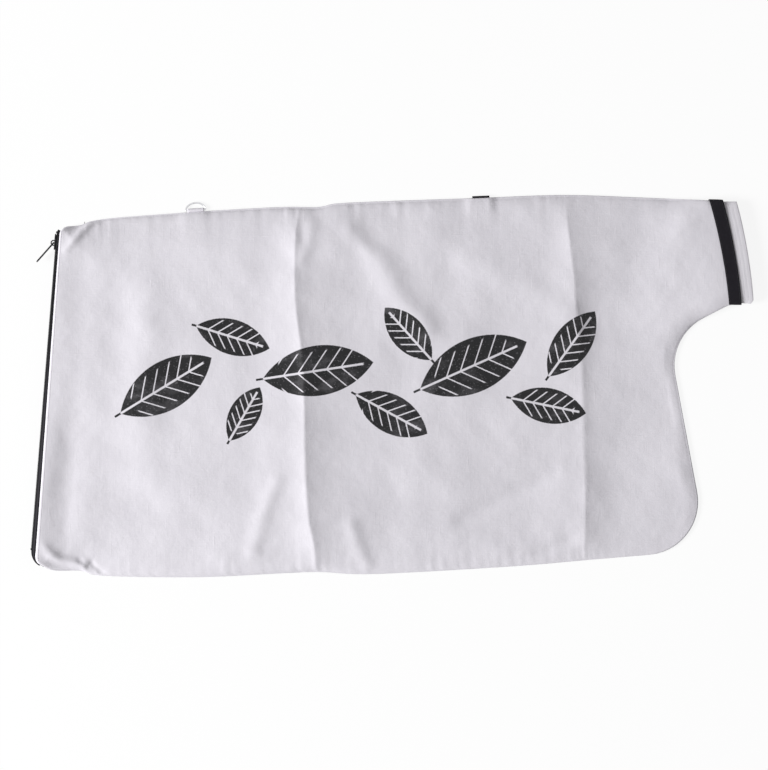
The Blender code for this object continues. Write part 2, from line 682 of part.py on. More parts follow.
slider = flat_solid("zip_slider", plate_outline(SLIDER_LONG, SLIDER_HALF), PLATE, BLACK_METAL)
slider.data.transform(Matrix.Translation((-(PLATE_GAP + PLATE) / 2, 0, 0)))
inner_plate = flat_solid("inner_plate", plate_outline(SLIDER_LONG, SLIDER_HALF), PLATE, None, cutters)
inner_plate.data.transform(Matrix.Translation(((PLATE_GAP + PLATE) / 2, 0, 0)))
added = [inner_plate]
lip_low, lip_high = -SLIDER_LONG * 0.38, SLIDER_LONG * 0.22
for face in (-1, 1):
    for edge in (-1, 1):
        xs = sorted((face * LIP_SLOT / 2, face * (PLATE_GAP / 2 + PLATE / 2)))
        zs = sorted((edge * (SLIDER_HALF - LIP), edge * SLIDER_HALF))
        added.append(box_between("lip", (xs[0], lip_low, zs[0]), (xs[1], lip_high, zs[1])))
diamond = [(SLIDER_LONG * 0.46, 0.0), (SLIDER_LONG * 0.36, DIAMOND_WIDE / 2),
           (SLIDER_LONG * 0.46 - DIAMOND_LONG, 0.0), (SLIDER_LONG * 0.36, -DIAMOND_WIDE / 2)]
added.append(flat_solid("diamond", diamond, PLATE_GAP + PLATE, None, cutters))
arch = crown("crown")
arch.data.transform(Matrix.Translation((-axis_out, crown_place, 0)))
added.append(arch)
join(slider, added)
on_chain(slider, SLIDER_START)


# Pull: a flat tab with a window at its root, whose cross-bar turns in the crown

def pull_tab():
    """Tab in local X and Z, its bar on the local origin and its end towards -X."""
    half = PULL_WIDE / 2
    window_end = CROWN_BORE + CROWN_WALL + 4 * CLEAR
    root = PULL_BAR / 2
    neck = -window_end - half
    taper = half * 0.86
    end = PULL_LONG * 0.1
    tip = [(-PULL_LONG + end, taper), (-PULL_LONG + end / 4, taper * 0.72), (-PULL_LONG, taper * 0.30)]
    half_outline = [(root, half), (neck, half)] + tip
    outline = [(x, -z) for x, z in half_outline] + half_outline[::-1]
    bm = bmesh.new()
    ring = [bm.verts.new((x, -PULL_THICK / 2, z)) for x, z in outline]
    grown = bmesh.ops.extrude_face_region(bm, geom=[bm.faces.new(ring)])
    moved = [v for v in grown["geom"] if isinstance(v, bmesh.types.BMVert)]
    bmesh.ops.translate(bm, verts=moved, vec=(0, PULL_THICK, 0))
    bmesh.ops.recalc_face_normals(bm, faces=bm.faces)
    mesh = bpy.data.meshes.new("zip_pull")
    bm.to_mesh(mesh)
    bm.free()
    tab = place(mesh, "zip_pull", BLACK_METAL)
    edge = tab.modifiers.new("rounded edges", "BEVEL")
    edge.width = PULL_THICK * 0.25
    edge.segments = 1
    edge.limit_method = "ANGLE"
    edge.angle_limit = math.radians(50)
    window_half = CROWN_WIDE / 2 + CLEAR
    holes = [box_between("window", (-window_end, -PULL_THICK, -window_half),
                         (-PULL_BAR / 2, PULL_THICK, window_half))]
    bm = bmesh.new()
    hole_place = Matrix.Translation((-PULL_LONG + 1.5 * PULL_HOLE, 0, 0))
    bmesh.ops.create_cone(bm, cap_ends=True, segments=16, radius1=PULL_HOLE / 2, radius2=PULL_HOLE / 2,
                          depth=3 * PULL_THICK, matrix=hole_place @ Matrix.Rotation(math.pi / 2, 4, "X"))
    mesh = bpy.data.meshes.new("end hole")
    bm.to_mesh(mesh)
    bm.free()
    holes.append(place(mesh, "end hole", None, home=cutters))
    for hole in holes:
        hole.hide_render = True
        hole.display_type = "WIRE"
        cut = tab.modifiers.new("hole", "BOOLEAN")
        cut.operation = "DIFFERENCE"
        cut.object = hole
    bpy.context.view_layer.update()
    apply_modifiers(tab)
    for hole in holes:
        bpy.data.objects.remove(hole, do_unlink=True)
    return tab


slider_turn = slider.rotation_euler.z
axis_place = slider.location + Matrix.Rotation(slider_turn, 3, "Z") @ Vector((-axis_out, crown_place, 0))
pull = pull_tab()
pull.location = axis_place
pull.rotation_euler = (0, 0, slider_turn + math.pi / 2 - PULL_SWING)


# Neck: the cuff, flattened as it lies, and the strap round its seam

def flat_ring(half_wide, half_high, power, around):
    """Shares of width and height round a flattened tube: a superellipse, the angle spread evenly."""
    a = 2 * math.pi * np.arange(around) / around
    wide = half_wide * np.sign(np.cos(a)) * np.abs(np.cos(a)) ** (2 / power)
    high = half_high * np.sign(np.sin(a)) * np.abs(np.sin(a)) ** (2 / power)
    return wide, high


def neck_ring(name, stations, half_high, power, around, thickness, look):
    """A flattened tube on the neck's lines; each station gives its place and what it is narrower by."""
    rings = []
    for w, inset in stations:
        half = mix(NECK_WIDE, MOUTH_WIDE, np.clip(w, 0, 1)) / 2
        wide, high = flat_ring(half - inset, half_high, power, around)
        rings.append(neck_point(w, wide / half, NECK_LEVEL + high))
    ring = place(grid_mesh(name, np.stack(rings)[::-1], closed=True), name, look)
    thicken(ring, thickness, -1)
    return ring


cuff_inset = FLANGE + CLOTH + CUFF_EASE
past_panels = panel_end + 2 * CLEAR / NECK_STEP
flared = strap_half - 2 * CLEAR / NECK_STEP
cuff_stations = ((cuff_start, cuff_inset), (past_panels, cuff_inset), (flared, 2 * CLEAR), (1.0, 0.0))
neck_ring("neck_cuff", cuff_stations, CUFF_BORE / 2 + CUFF, 4, 32, CUFF, WHITE_CLOTH)
strap_out = NECK_PANEL_HALF + STRAP_SLACK + STRAP
strap_outset = 2 * CLEAR + STRAP
strap_stations = ((-strap_half, -strap_outset), (strap_half, -strap_outset))
neck_ring("neck_strap", strap_stations, strap_out, 6, 44, STRAP, BLACK_WEBBING)


# Ring tab and webbing loop, both caught between the panels in the top seam

def seam_frame(distance):
    """Point on the top seam, the direction along it and the direction out of the bag."""
    way = top_seam.heading(distance, 0.004)
    return top_seam.at(distance), way, np.array([-way[1], way[0]])


def folded_strip(name, distance, section, wide, thickness, look):
    """A strip folded along a section of (outward, height) points and as wide as stated along the seam."""
    foot, way, out = seam_frame(distance)
    section = np.array(section)
    sides = []
    for side in (-wide / 2, wide / 2):
        plan = foot + way * side + out * section[:, :1]
        sides.append(np.column_stack([plan, section[:, 1]]))
    strip = place(grid_mesh(name, np.stack(sides)), name, look)
    thicken(strip, thickness, 0)
    return strip


seam_floor = SEAM_LEVEL - CLEAR / 2
tab_level = seam_floor + CLEAR + TAB + CLEAR / 2
wrap = RING_WIRE / 2 + TAB_SLACK + TAB / 2
ring_out = wrap + TAB / 2 + CLEAR
ring_level = max(tab_level, wrap + TAB / 2 + CLEAR / 2)
layer = (TAB + CLEAR) / 2
turns = np.linspace(-0.82, 0.82, 9) * math.pi
loop_round = [(ring_out + wrap * math.cos(a), ring_level + wrap * math.sin(a)) for a in turns]
tab_section = [(-SEWN_IN, tab_level - layer), (0.0, tab_level - layer)] + loop_round
tab_section += [(0.0, tab_level + layer), (-SEWN_IN, tab_level + layer)]
folded_strip("d_ring_tab", RING_PLACE, tab_section, TAB_WIDE, TAB, WHITE_CLOTH)

web_level = seam_floor + CLEAR + LOOP_WEB + CLEAR / 2
web_half = (LOOP_WEB + CLEAR) / 2
web_turn = LOOP_PROUD - LOOP_WEB / 2 - web_half
turns = np.linspace(-0.5, 0.5, 5) * math.pi
web_round = [(web_turn + web_half * math.cos(a), web_level + web_half * math.sin(a)) for a in turns]
web_section = [(-SEWN_IN, web_level - web_half)] + web_round + [(-SEWN_IN, web_level + web_half)]
folded_strip("webbing_loop", LOOP_PLACE, web_section, LOOP_WIDE, LOOP_WEB, BLACK_WEBBING)


# D-ring: bent wire, a straight bar in the tab and a low bow

def ring_wire():
    """Closed wire in the ring's own plane: the bar on local X, the bow a half ellipse towards local Y."""
    bow = [(RING_HALF * math.cos(a), RING_DEEP * math.sin(a)) for a in np.linspace(0, math.pi, 21)]
    turn_in = RING_WIRE * 0.75
    bar = [(-RING_HALF + turn_in * 0.3, -turn_in * 0.35), (-RING_HALF + turn_in, 0.0)]
    bar += [(RING_HALF - turn_in, 0.0), (RING_HALF - turn_in * 0.3, -turn_in * 0.35)]
    curve = bpy.data.curves.new("d_ring", "CURVE")
    curve.dimensions = "3D"
    curve.bevel_depth = RING_WIRE / 2
    curve.bevel_resolution = 2
    spline = curve.splines.new("POLY")
    points = bow + bar
    spline.points.add(len(points) - 1)
    for point, (x, y) in zip(spline.points, points):
        point.co = (x, y, 0.0, 1.0)
    spline.use_cyclic_u = True
    curve.materials.append(CHROME)
    wire = bpy.data.objects.new("d_ring", curve)
    parts.objects.link(wire)
    return wire


foot, way, out = seam_frame(RING_PLACE)
d_ring = ring_wire()
d_ring.location = (*(foot + out * ring_out), ring_level)
droop = math.asin((ring_level - RING_WIRE / 2 - CLEAR / 3) / RING_DEEP)
d_ring.rotation_euler = (-droop, 0, math.atan2(way[1], way[0]))
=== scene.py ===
# Looks of the empty collection bag of a garden blower vacuum, which lies flat on its back panel.
# The file follows the bag as it is sewn: the studio, the two cloth panels, the zip, the neck, what is sewn
# into the top seam, and the thread.
import math

import bpy
import numpy as np
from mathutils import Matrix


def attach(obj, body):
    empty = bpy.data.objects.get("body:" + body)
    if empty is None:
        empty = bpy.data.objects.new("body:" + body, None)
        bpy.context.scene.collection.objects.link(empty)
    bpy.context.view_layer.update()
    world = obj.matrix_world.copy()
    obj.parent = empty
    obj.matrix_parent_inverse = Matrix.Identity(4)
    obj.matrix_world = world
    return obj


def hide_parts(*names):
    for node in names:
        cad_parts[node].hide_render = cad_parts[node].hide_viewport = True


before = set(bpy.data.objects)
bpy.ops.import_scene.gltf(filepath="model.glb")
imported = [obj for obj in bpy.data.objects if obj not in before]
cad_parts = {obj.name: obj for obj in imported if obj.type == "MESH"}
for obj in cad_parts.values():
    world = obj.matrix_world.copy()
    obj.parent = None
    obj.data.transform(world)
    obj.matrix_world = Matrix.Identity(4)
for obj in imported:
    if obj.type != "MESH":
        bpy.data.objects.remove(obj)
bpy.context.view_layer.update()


# The studio. The bag lies on a pale floor under a pale sky, with one broad low lamp far off to the left.
# The camera looks straight down at it.

class Wire:
    """One output of a shader node. Sums with it, also with plain numbers, add Math nodes."""

    def __init__(self, tree, socket=None):
        self.tree = tree
        self.socket = socket

    def node(self, kind, settings=None, sockets=None, out=0):
        """Adds a node of any type: first its settings, then the value or the link of each socket."""
        made = self.tree.nodes.new(kind)
        for key, value in (settings or {}).items():
            setattr(made, key, value)
        for key, value in (sockets or {}).items():
            if isinstance(value, Wire):
                self.tree.links.new(value.socket, made.inputs[key])
            else:
                made.inputs[key].default_value = value
        return Wire(self.tree, made.outputs[out] if made.outputs else None)

    def math(self, operation, first, second=0.0):
        return self.node("ShaderNodeMath", {"operation": operation}, {0: first, 1: second})

    def __add__(self, other):
        return self.math("ADD", self, other)

    def __sub__(self, other):
        return self.math("SUBTRACT", self, other)

    def __rsub__(self, other):
        return self.math("SUBTRACT", other, self)

    def __mul__(self, other):
        return self.math("MULTIPLY", self, other)

    def __pow__(self, other):
        return self.math("POWER", self, other)

    def __abs__(self):
        return self.math("ABSOLUTE", self)

    __radd__ = __add__

    def higher(self, other):
        return self.math("MAXIMUM", self, other)

    def sine(self):
        return self.math("SINE", self)

    def between(self, low, high):
        """Eases from 0 at low to 1 at high, held outside that range; low may be the larger."""
        return self.node("ShaderNodeMapRange", {"interpolation_type": "SMOOTHSTEP"},
                         {"Value": self, "From Min": low, "From Max": high})

    def parts(self):
        """The three numbers of a vector."""
        made = self.node("ShaderNodeSeparateXYZ", None, {0: self}).socket.node
        return [Wire(self.tree, made.outputs[k]) for k in range(3)]

    def mark(self, name):
        """A number kept on the points of the mesh."""
        return self.node("ShaderNodeAttribute", {"attribute_name": name}, out=2)

    def noise(self, scale, stretch=(1, 1, 1), detail=2.0, roughness=0.5):
        """Cloudy values about 0.5 over a point; stretch packs them closer along an axis."""
        packed = self.node("ShaderNodeMapping", None, {"Vector": self, "Scale": stretch})
        return packed.node("ShaderNodeTexNoise", None,
                           {"Vector": packed, "Scale": scale, "Detail": detail, "Roughness": roughness})

    def colours(self, at_zero, at_one):
        """Mixes two colours by this value."""
        return self.node("ShaderNodeMix", {"data_type": "RGBA"}, {0: self, 6: at_zero, 7: at_one}, 2)

    def bump(self, depth, before=None):
        """Turns a height from 0 to 1, times depth in metres, into a normal."""
        sockets = {"Height": self, "Distance": depth, "Strength": 1.0}
        if before:
            sockets["Normal"] = before
        return self.node("ShaderNodeBump", None, sockets)

    def skin(self, colour, rough, normal, shine, metallic=0.0):
        """The shader of a surface; shine is the level of its plain reflections, 0.5 for most solid stuff."""
        return self.node("ShaderNodeBsdfPrincipled", None, {
            "Base Color": colour, "Roughness": rough, "Normal": normal, "Specular IOR Level": shine,
            "Metallic": metallic})


def material(name, surface):
    """A material whose surface comes from a function of a bare wire on its node tree."""
    made = bpy.data.materials.new(name)
    made.use_nodes = True
    made.node_tree.nodes.clear()
    bare = Wire(made.node_tree)
    bare.node("ShaderNodeOutputMaterial", None, {"Surface": surface(bare)})
    return made


def place_of(w):
    """The point on the object itself, in metres."""
    return w.node("ShaderNodeTexCoord", out=3)


def grey(level):
    return (level, level, level, 1.0)


def shown(name, data, look=None):
    """Puts a mesh with its material, a camera or a lamp into the scene."""
    if look:
        data.materials.append(look)
    made = bpy.data.objects.new(name, data)
    bpy.context.scene.collection.objects.link(made)
    return made


WHITE = grey(1.0)
CAMERA_HIGH = 5.0
VIEW_TALL = 0.924
SENSOR = 36.0
SKY_LEVEL = 0.32
LAMP_LEVEL = 0.68
LAMP_AWAY = 6.5
LAMP_WIDE = 2.6
LAMP_TURN = math.radians(190)
LAMP_RISE = math.radians(28)
FLOOR_HALF = 6.0
FLOOR_LEVEL = -0.0002

camera = shown("camera", bpy.data.cameras.new("camera"))
camera.location = (-0.009, 0.0008, CAMERA_HIGH)
camera.data.sensor_width = SENSOR
camera.data.lens = SENSOR * CAMERA_HIGH / VIEW_TALL
bpy.context.scene.camera = camera
bpy.context.scene.view_settings.view_transform = "Standard"


def straight_seen(w):
    """1 where the camera looks, or where metal or a glossy surface mirrors it, and 0 for plain light."""
    path = w.node("ShaderNodeLightPath").socket.node.outputs
    seen = [Wire(w.tree, path[name]) for name in ("Is Camera Ray", "Is Glossy Ray", "Is Transmission Ray")]
    return seen[0].higher(seen[1]).higher(seen[2])


def sky_surface(w):
    dim = w.node("ShaderNodeBackground", None, {"Color": WHITE, "Strength": SKY_LEVEL})
    white = w.node("ShaderNodeBackground", None, {"Color": WHITE, "Strength": 1.0})
    return w.node("ShaderNodeMixShader", None, {0: straight_seen(w), 1: dim, 2: white})


def floor_surface(w):
    plain = w.node("ShaderNodeBsdfDiffuse", None, {"Color": grey(0.9)})
    white = w.node("ShaderNodeEmission", None, {"Color": WHITE, "Strength": 1.0})
    return w.node("ShaderNodeMixShader", None, {0: straight_seen(w) * 0.88, 1: plain, 2: white})


sky = bpy.data.worlds.new("sky")
sky.use_nodes = True
sky.node_tree.nodes.clear()
bare_sky = Wire(sky.node_tree)
bare_sky.node("ShaderNodeOutputWorld", None, {"Surface": sky_surface(bare_sky)})
bpy.context.scene.world = sky

lamp = shown("broad_lamp", bpy.data.lights.new("broad_lamp", "AREA"))
lamp.data.shape = "DISK"
lamp.data.size = LAMP_WIDE
lamp.data.energy = LAMP_LEVEL * (math.pi * LAMP_AWAY) ** 2 / math.sin(LAMP_RISE)
lamp.location = (LAMP_AWAY * math.cos(LAMP_RISE) * math.cos(LAMP_TURN),
                 LAMP_AWAY * math.cos(LAMP_RISE) * math.sin(LAMP_TURN), LAMP_AWAY * math.sin(LAMP_RISE))
lamp.rotation_euler = (0, math.pi / 2 - LAMP_RISE, LAMP_TURN)

signs = ((-1, -1), (1, -1), (1, 1), (-1, 1))
corners = [(x * FLOOR_HALF, y * FLOOR_HALF, FLOOR_LEVEL) for x, y in signs]
floor_mesh = bpy.data.meshes.new("floor")
floor_mesh.from_pydata(corners, [], [(0, 1, 2, 3)])
shown("floor", floor_mesh, material("pale floor", floor_surface))


# The cloth of the bag: two panels of fine white plain weave, cut to one outline, sewn together along both
# long sides, round the corner and up to the neck, and turned, so that the seam's edge is a soft roll. The
# front carries a generic print of leaves.

CLOTH = 0.0007
CLEAR = 0.0003
SEAM_LEVEL = 0.0017
BODY_LOFT = 0.013
LEFT_LOFT = (0.0132, 0.0095)
RIGHT_LOFT = (0.0078, 0.0114)
HEM_FALL = 0.033
ZIP_LEVEL = 0.0084
HEM_RISE = 0.0072
HEM_LIFT = 0.0012
HEM_STAND = (0.0034, 0.0055)
HEM_CLOSES = 0.0042
STRAP_WIDE = 0.016
NECK_LEVEL = 0.0068
NECK_PANEL_HALF = 0.005
NECK_HOLD = 0.014
NECK_PLACE = (0.4002, 0.16)
NECK_WIDE = 0.1255
NECK_TILT = 10.5
MOUTH_PLACE = (0.4236, 0.1594)
MOUTH_WIDE = 0.124
MOUTH_TILT = 9.5
NECK_BOW = 0.003
RING_PLACE = 0.1615
TAB = 0.0006
TAB_WIDE = 0.02
LOOP_PLACE = 0.5041
LOOP_WEB = 0.0009
LOOP_WIDE = 0.0205
ZIP_MIDDLE = (-0.4158, -0.0076)
ZIP_LEAN = math.radians(4.6)
ZIP_STRAIGHT = 0.38
ZIP_TOP_BEND = (0.012, math.radians(48))
ZIP_LOW_BEND = (0.02, math.radians(62))
ZIP_TAPER = 0.022
TOP_WANDER = ((0.006, 0.0026), (0.026, 0.0034), (0.043, 0.0078), (0.075, 0.0106), (0.12, 0.012),
              (0.165, 0.013), (0.22, 0.0143), (0.33, 0.0153), (0.39, 0.0134), (0.42, 0.0168),
              (0.515, 0.0168), (0.63, 0.016), (0.76, 0.0153), (0.88, 0.0083))
LOW_WANDER = ((0.02, 0.0072), (0.06, 0.0086), (0.094, 0.0151), (0.235, 0.019), (0.37, 0.0161),
              (0.42, 0.0158), (0.5, 0.0193), (0.7, 0.0136), (0.9, 0.0031))
CORNER_PLACE = (0.38, -0.1988)
CORNER_ROUND = 0.064
THROAT_PLACE = (0.3318, 0.059)
THROAT_ROUND = 0.064
THROAT_DROP = 0.003
FOLDS_ON_TOP = (0.278, 0.597)
FOLDS_ON_LOW = (0.334, 0.666)
CORNER_FAN = (0.165, 0.1)
ROWS = 136
COLUMN_STEP = 0.0036
FINE_STEP = 0.0014


def smooth(t):
    """Eases from 0 to 1 with level ends, held outside that range."""
    t = np.clip(t, 0.0, 1.0)
    return t * t * (3 - 2 * t)


def mix(a, b, t):
    return a + (b - a) * t


def grid_mesh(name, points, look, around=False, **marks):
    """A grid of points joined by quads, rows by columns; around joins the last column to the first.

    Each mark is one number per point, kept as an attribute that the material reads."""
    rows, columns = points.shape[:2]
    number = np.arange(rows * columns).reshape(rows, columns)
    if around:
        number = np.hstack([number, number[:, :1]])
    quads = np.stack([number[:-1, :-1], number[1:, :-1], number[1:, 1:], number[:-1, 1:]], axis=-1)
    mesh = bpy.data.meshes.new(name)
    mesh.vertices.add(rows * columns)
    mesh.vertices.foreach_set("co", points.astype(np.float32).ravel())
    mesh.loops.add(quads.size)
    mesh.loops.foreach_set("vertex_index", quads.astype(np.int32).ravel())
    mesh.polygons.add(quads.size // 4)
    mesh.polygons.foreach_set("loop_start", np.arange(0, quads.size, 4, dtype=np.int32))
    mesh.update(calc_edges=True)
    for mark, values in marks.items():
        spread = np.broadcast_to(values, (rows, columns)).astype(np.float32)
        mesh.attributes.new(mark, "FLOAT", "POINT").data.foreach_set("value", spread.ravel())
    mesh.shade_smooth()
    return shown(name, mesh, look)


def thicken(piece, thickness, offset=-1.0):
    solid = piece.modifiers.new("thickness", "SOLIDIFY")
    solid.thickness = thickness
    solid.offset = offset
    return piece


def belongs(piece, node=None, body="bag"):
    """Ties a piece to its body and, where it stands in for one, to its solid, which it hides."""
    if node:
        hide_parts(node)
    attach(piece, body)
    return piece


def distances(points):
    """How far along a line of points each point lies."""
    return np.concatenate([[0.0], np.cumsum(np.linalg.norm(np.diff(points, axis=0), axis=1))])


def unit(ways):
    """Each way made one long."""
    return ways / np.linalg.norm(ways, axis=-1, keepdims=True)


def left_of(way):
    """The way in plan a quarter turn to the left of a way."""
    return np.stack([-way[..., 1], way[..., 0]], axis=-1)


class Path:
    """A line in plan that can be read at any distance along it."""

    def __init__(self, points):
        self.points = np.array(points, dtype=float)
        self.along = distances(self.points)
        self.length = self.along[-1]

    def at(self, distance):
        return np.stack([np.interp(distance, self.along, self.points[:, k]) for k in (0, 1)], axis=-1)

    def heading(self, distance, reach=0.0008):
        """Unit direction of travel, read over a short stretch."""
        return unit(self.at(np.add(distance, reach)) - self.at(np.subtract(distance, reach)))


def through(points, steps=8):
    """A smooth Catmull-Rom curve through chosen points."""
    p = np.array(points, dtype=float)
    p = np.vstack([2 * p[0] - p[1], p, 2 * p[-1] - p[-2]])
    t = (np.arange(steps) / steps)[:, None]
    spans = []
    for a, b, c, d in zip(p[:-3], p[1:-2], p[2:-1], p[3:]):
        curve = (c - a) * t + (2 * a - 5 * b + 4 * c - d) * t**2 + (3 * b - a - 3 * c + d) * t**3
        spans.append(0.5 * (2 * b + curve))
    return np.vstack(spans + [p[-2:-1]])


def wandering(start, end, offsets, side):
    """Points off the straight line from start to end, moved sideways by the offsets."""
    start, end = np.array(start), np.array(end)
    across = unit(left_of(end - start)) * side
    return [start] + [start + (end - start) * share + across * off for share, off in offsets]


def fillet(before, corner, after, radius, steps=24):
    """Arc that rounds a corner between two straight lines, its centre on the line that halves the corner."""
    before, corner, after = np.array(before), np.array(corner), np.array(after)
    a, b = unit(before - corner), unit(after - corner)
    half = math.acos(float(np.clip(a @ b, -1, 1))) / 2
    centre = corner + unit(a + b) * radius / math.sin(half)
    first = corner + a * radius / math.tan(half) - centre
    last = corner + b * radius / math.tan(half) - centre
    start = math.atan2(first[1], first[0])
    sweep = (math.atan2(last[1], last[0]) - start + math.pi) % (2 * math.pi) - math.pi
    turn = start + sweep * np.arange(steps + 1) / steps
    return centre + radius * np.stack([np.cos(turn), np.sin(turn)], axis=-1)


def bend(start, heading, radius, angle, steps=16):
    """Arc that leaves a point in a heading and curves to the left."""
    turn = angle * np.arange(1, steps + 1) / steps
    side = left_of(heading)
    return start + radius * (np.sin(turn)[:, None] * heading + (1 - np.cos(turn))[:, None] * side)


chain_down = np.array([-math.sin(ZIP_LEAN), -math.cos(ZIP_LEAN)])
chain_middle = np.array(ZIP_MIDDLE)
chain_top = chain_middle - chain_down * ZIP_STRAIGHT / 2
chain_foot = chain_middle + chain_down * ZIP_STRAIGHT / 2
mirror = np.array([1, -1])
upper_arc = bend(chain_top * mirror, -chain_down * mirror, *ZIP_TOP_BEND) * mirror
lower_arc = bend(chain_foot, chain_down, *ZIP_LOW_BEND)
zip_path = Path(np.vstack([upper_arc[::-1], chain_top, chain_foot, lower_arc]))
zip_end = zip_path.length


def hem_offset(s):
    """How far the cloth's hem stands back from the plane of the teeth; it closes in at the lower end."""
    stand = mix(*HEM_STAND, smooth(np.asarray(s) / zip_end))
    return stand - HEM_CLOSES * smooth((np.asarray(s) - zip_end) / ZIP_TAPER + 1)


def down_zip(s):
    """The way down the zip at a distance along it."""
    return zip_path.heading(np.clip(s, 0.001, zip_end - 0.001))


def beside_zip(s, inward):
    """Plan point at a distance along the zip, moved into the bag."""
    return zip_path.at(s) + left_of(down_zip(s)) * np.asarray(inward)[..., None]


def neck_half(w):
    """Half the neck's width: w is 0 at the strap and 1 at the mouth."""
    return mix(NECK_WIDE, MOUTH_WIDE, np.clip(w, 0, 1)) / 2


def neck_point(w, q, z):
    """Point on the neck between the strap and the mouth, where q runs from -1 to 1 over the width."""
    w, q = np.broadcast_arrays(w, q)
    tilt = np.radians(mix(NECK_TILT, MOUTH_TILT, w))
    across = q * neck_half(w)
    x = mix(NECK_PLACE[0], MOUTH_PLACE[0], w) - np.sin(tilt) * across + NECK_BOW * (1 - q**2)
    y = mix(NECK_PLACE[1], MOUTH_PLACE[1], w) + np.cos(tilt) * across
    return np.stack(np.broadcast_arrays(x, y, z), axis=-1)


NECK_STEP = MOUTH_PLACE[0] - NECK_PLACE[0]
panel_end = STRAP_WIDE / 4 / NECK_STEP
left_top = beside_zip(0.0, hem_offset(0.0))
left_low = beside_zip(zip_end, hem_offset(zip_end))
neck_top = neck_point(panel_end, 1.0, 0.0)[:2]
neck_low = neck_point(panel_end, -1.0, 0.0)[:2]
top_seam = Path(through(wandering(left_top, neck_top, TOP_WANDER, 1) + [neck_top]))
low_points = wandering(left_low, CORNER_PLACE, LOW_WANDER, -1)
low_arc = fillet(low_points[-1], CORNER_PLACE, THROAT_PLACE, CORNER_ROUND)
before_strap = neck_point(panel_end - NECK_HOLD / NECK_STEP, -1.0, 0.0)[:2] - (0.0, THROAT_DROP)
throat_arc = fillet(CORNER_PLACE, THROAT_PLACE, before_strap, THROAT_ROUND)
low_line = through(low_points[:-1] + [mix(low_points[-2], low_arc[0], 0.6), low_arc[0]])
low_seam = Path(np.vstack([low_line, low_arc[1:], throat_arc, [before_strap, neck_low]]))
low_before_arc = Path(low_line).length
low_after_arc = low_before_arc + Path(low_arc).length
TOP_KNOTS = (0.0, *FOLDS_ON_TOP, top_seam.length - CORNER_FAN[0], top_seam.length - CORNER_FAN[1],
             top_seam.length - NECK_HOLD, top_seam.length)
LOW_KNOTS = (0.0, *FOLDS_ON_LOW, low_before_arc, low_after_arc, low_seam.length - NECK_HOLD, low_seam.length)


def column_places():
    """Distances along the top seam of the columns: close at the zip, at the folds and towards the neck."""
    s = np.linspace(0, top_seam.length, 4000)
    close = smooth(2 - s / 0.05) + smooth((s - TOP_KNOTS[3] + 0.02) / 0.03)
    for fold in FOLDS_ON_TOP:
        close = np.maximum(close, smooth(1.6 - np.abs(s - fold) / 0.014))
    crowd = np.cumsum(1 / mix(COLUMN_STEP, FINE_STEP, np.clip(close, 0, 1))) * (s[1] - s[0])
    return np.interp(np.linspace(crowd[0], crowd[-1], int(crowd[-1])), crowd, s)


def past_strap(distance, length, over):
    """0 where the strap holds the neck flat, easing to 1 over a stretch of the bag beyond it."""
    return smooth((length - distance - NECK_HOLD) / over)


columns = column_places()
low_columns = np.interp(columns, TOP_KNOTS, LOW_KNOTS)
off_strap = past_strap(columns, top_seam.length, 0.03)
near_neck = past_strap(columns, top_seam.length, 0.05)
near_zip = smooth(columns / 0.05)


def square_to(seam, places, way, free):
    """Turns the ways of the columns square to a seam, except near the zip and under the strap."""
    inward = -left_of(seam.heading(np.clip(places, 0.01, seam.length - 0.01), 0.01))
    return mix(way, inward * 0.6 * np.linalg.norm(way, axis=1, keepdims=True), free[:, None])


def plan_grid(rows):
    """Plan points: each column is a Hermite curve from the top seam to the lower one, square to both.

    The rows crowd towards the seams, and the first and last columns follow the zip and the neck."""
    t = np.linspace(0, 1, rows + 1)
    v = (t - 0.25 * np.sin(2 * math.pi * t) / (2 * math.pi))[:, None]
    top, low = top_seam.at(columns), low_seam.at(low_columns)
    free = smooth(columns / 0.06) * off_strap
    leave = square_to(top_seam, columns, low - top, free)
    arrive = square_to(low_seam, low_columns, low - top, free)
    s = v[:, 0] * zip_end
    left = beside_zip(s, hem_offset(s)) - mix(top[0], low[0], v)
    end = neck_point(panel_end, 1 - 2 * v[:, 0], 0.0)[:, :2] - mix(top[-1], low[-1], v)
    v3 = v[:, :, None]
    ruled = mix(top[None], low[None], v3**2 * (3 - 2 * v3))
    ruled = ruled + v3 * (1 - v3) ** 2 * leave[None] - v3**2 * (1 - v3) * arrive[None]
    return ruled + mix(left[:, None], end[:, None], (columns / top_seam.length)[None, :, None]), v


def rim_level(distance, length):
    """Height of the seam line: up at the zip and at the neck, near the floor between."""
    at_zip = 1 - smooth(distance / 0.06)
    at_neck = 1 - past_strap(distance, length, 0.05)
    return SEAM_LEVEL + (ZIP_LEVEL - SEAM_LEVEL) * at_zip + (NECK_LEVEL - SEAM_LEVEL) * at_neck


def sewn_lift():
    """Room in the top seam for the ring's tab and for the webbing loop."""
    lift = np.zeros_like(columns)
    for centre, wide, strip in ((RING_PLACE, TAB_WIDE, TAB), (LOOP_PLACE, LOOP_WIDE, LOOP_WEB)):
        beyond = np.abs(columns - centre) - wide / 2 - 3 * CLEAR
        lift += 2 * (strip + CLEAR) * (1 - smooth(beyond / (wide / 2 - 3 * CLEAR)))
    return lift


plan, v = plan_grid(ROWS)
steps = np.linalg.norm(np.diff(plan, axis=0), axis=2)
to_top = np.vstack([np.zeros_like(columns), np.cumsum(steps, axis=0)])
to_low = to_top[-1] - to_top
inside = np.minimum(to_top, to_low)
x, y = plan[..., 0], plan[..., 1]
rim = mix(rim_level(columns, top_seam.length), rim_level(low_columns, low_seam.length), smooth(v))


def loft(distance, flange, wide, power):
    """Share of the loft reached at a distance inside a seam: a flat flange, then a rounded shoulder."""
    reached = np.clip((distance - flange) / wide, 0.0, 1.0)
    return (1 - (1 - reached) ** power) ** (1 / power)


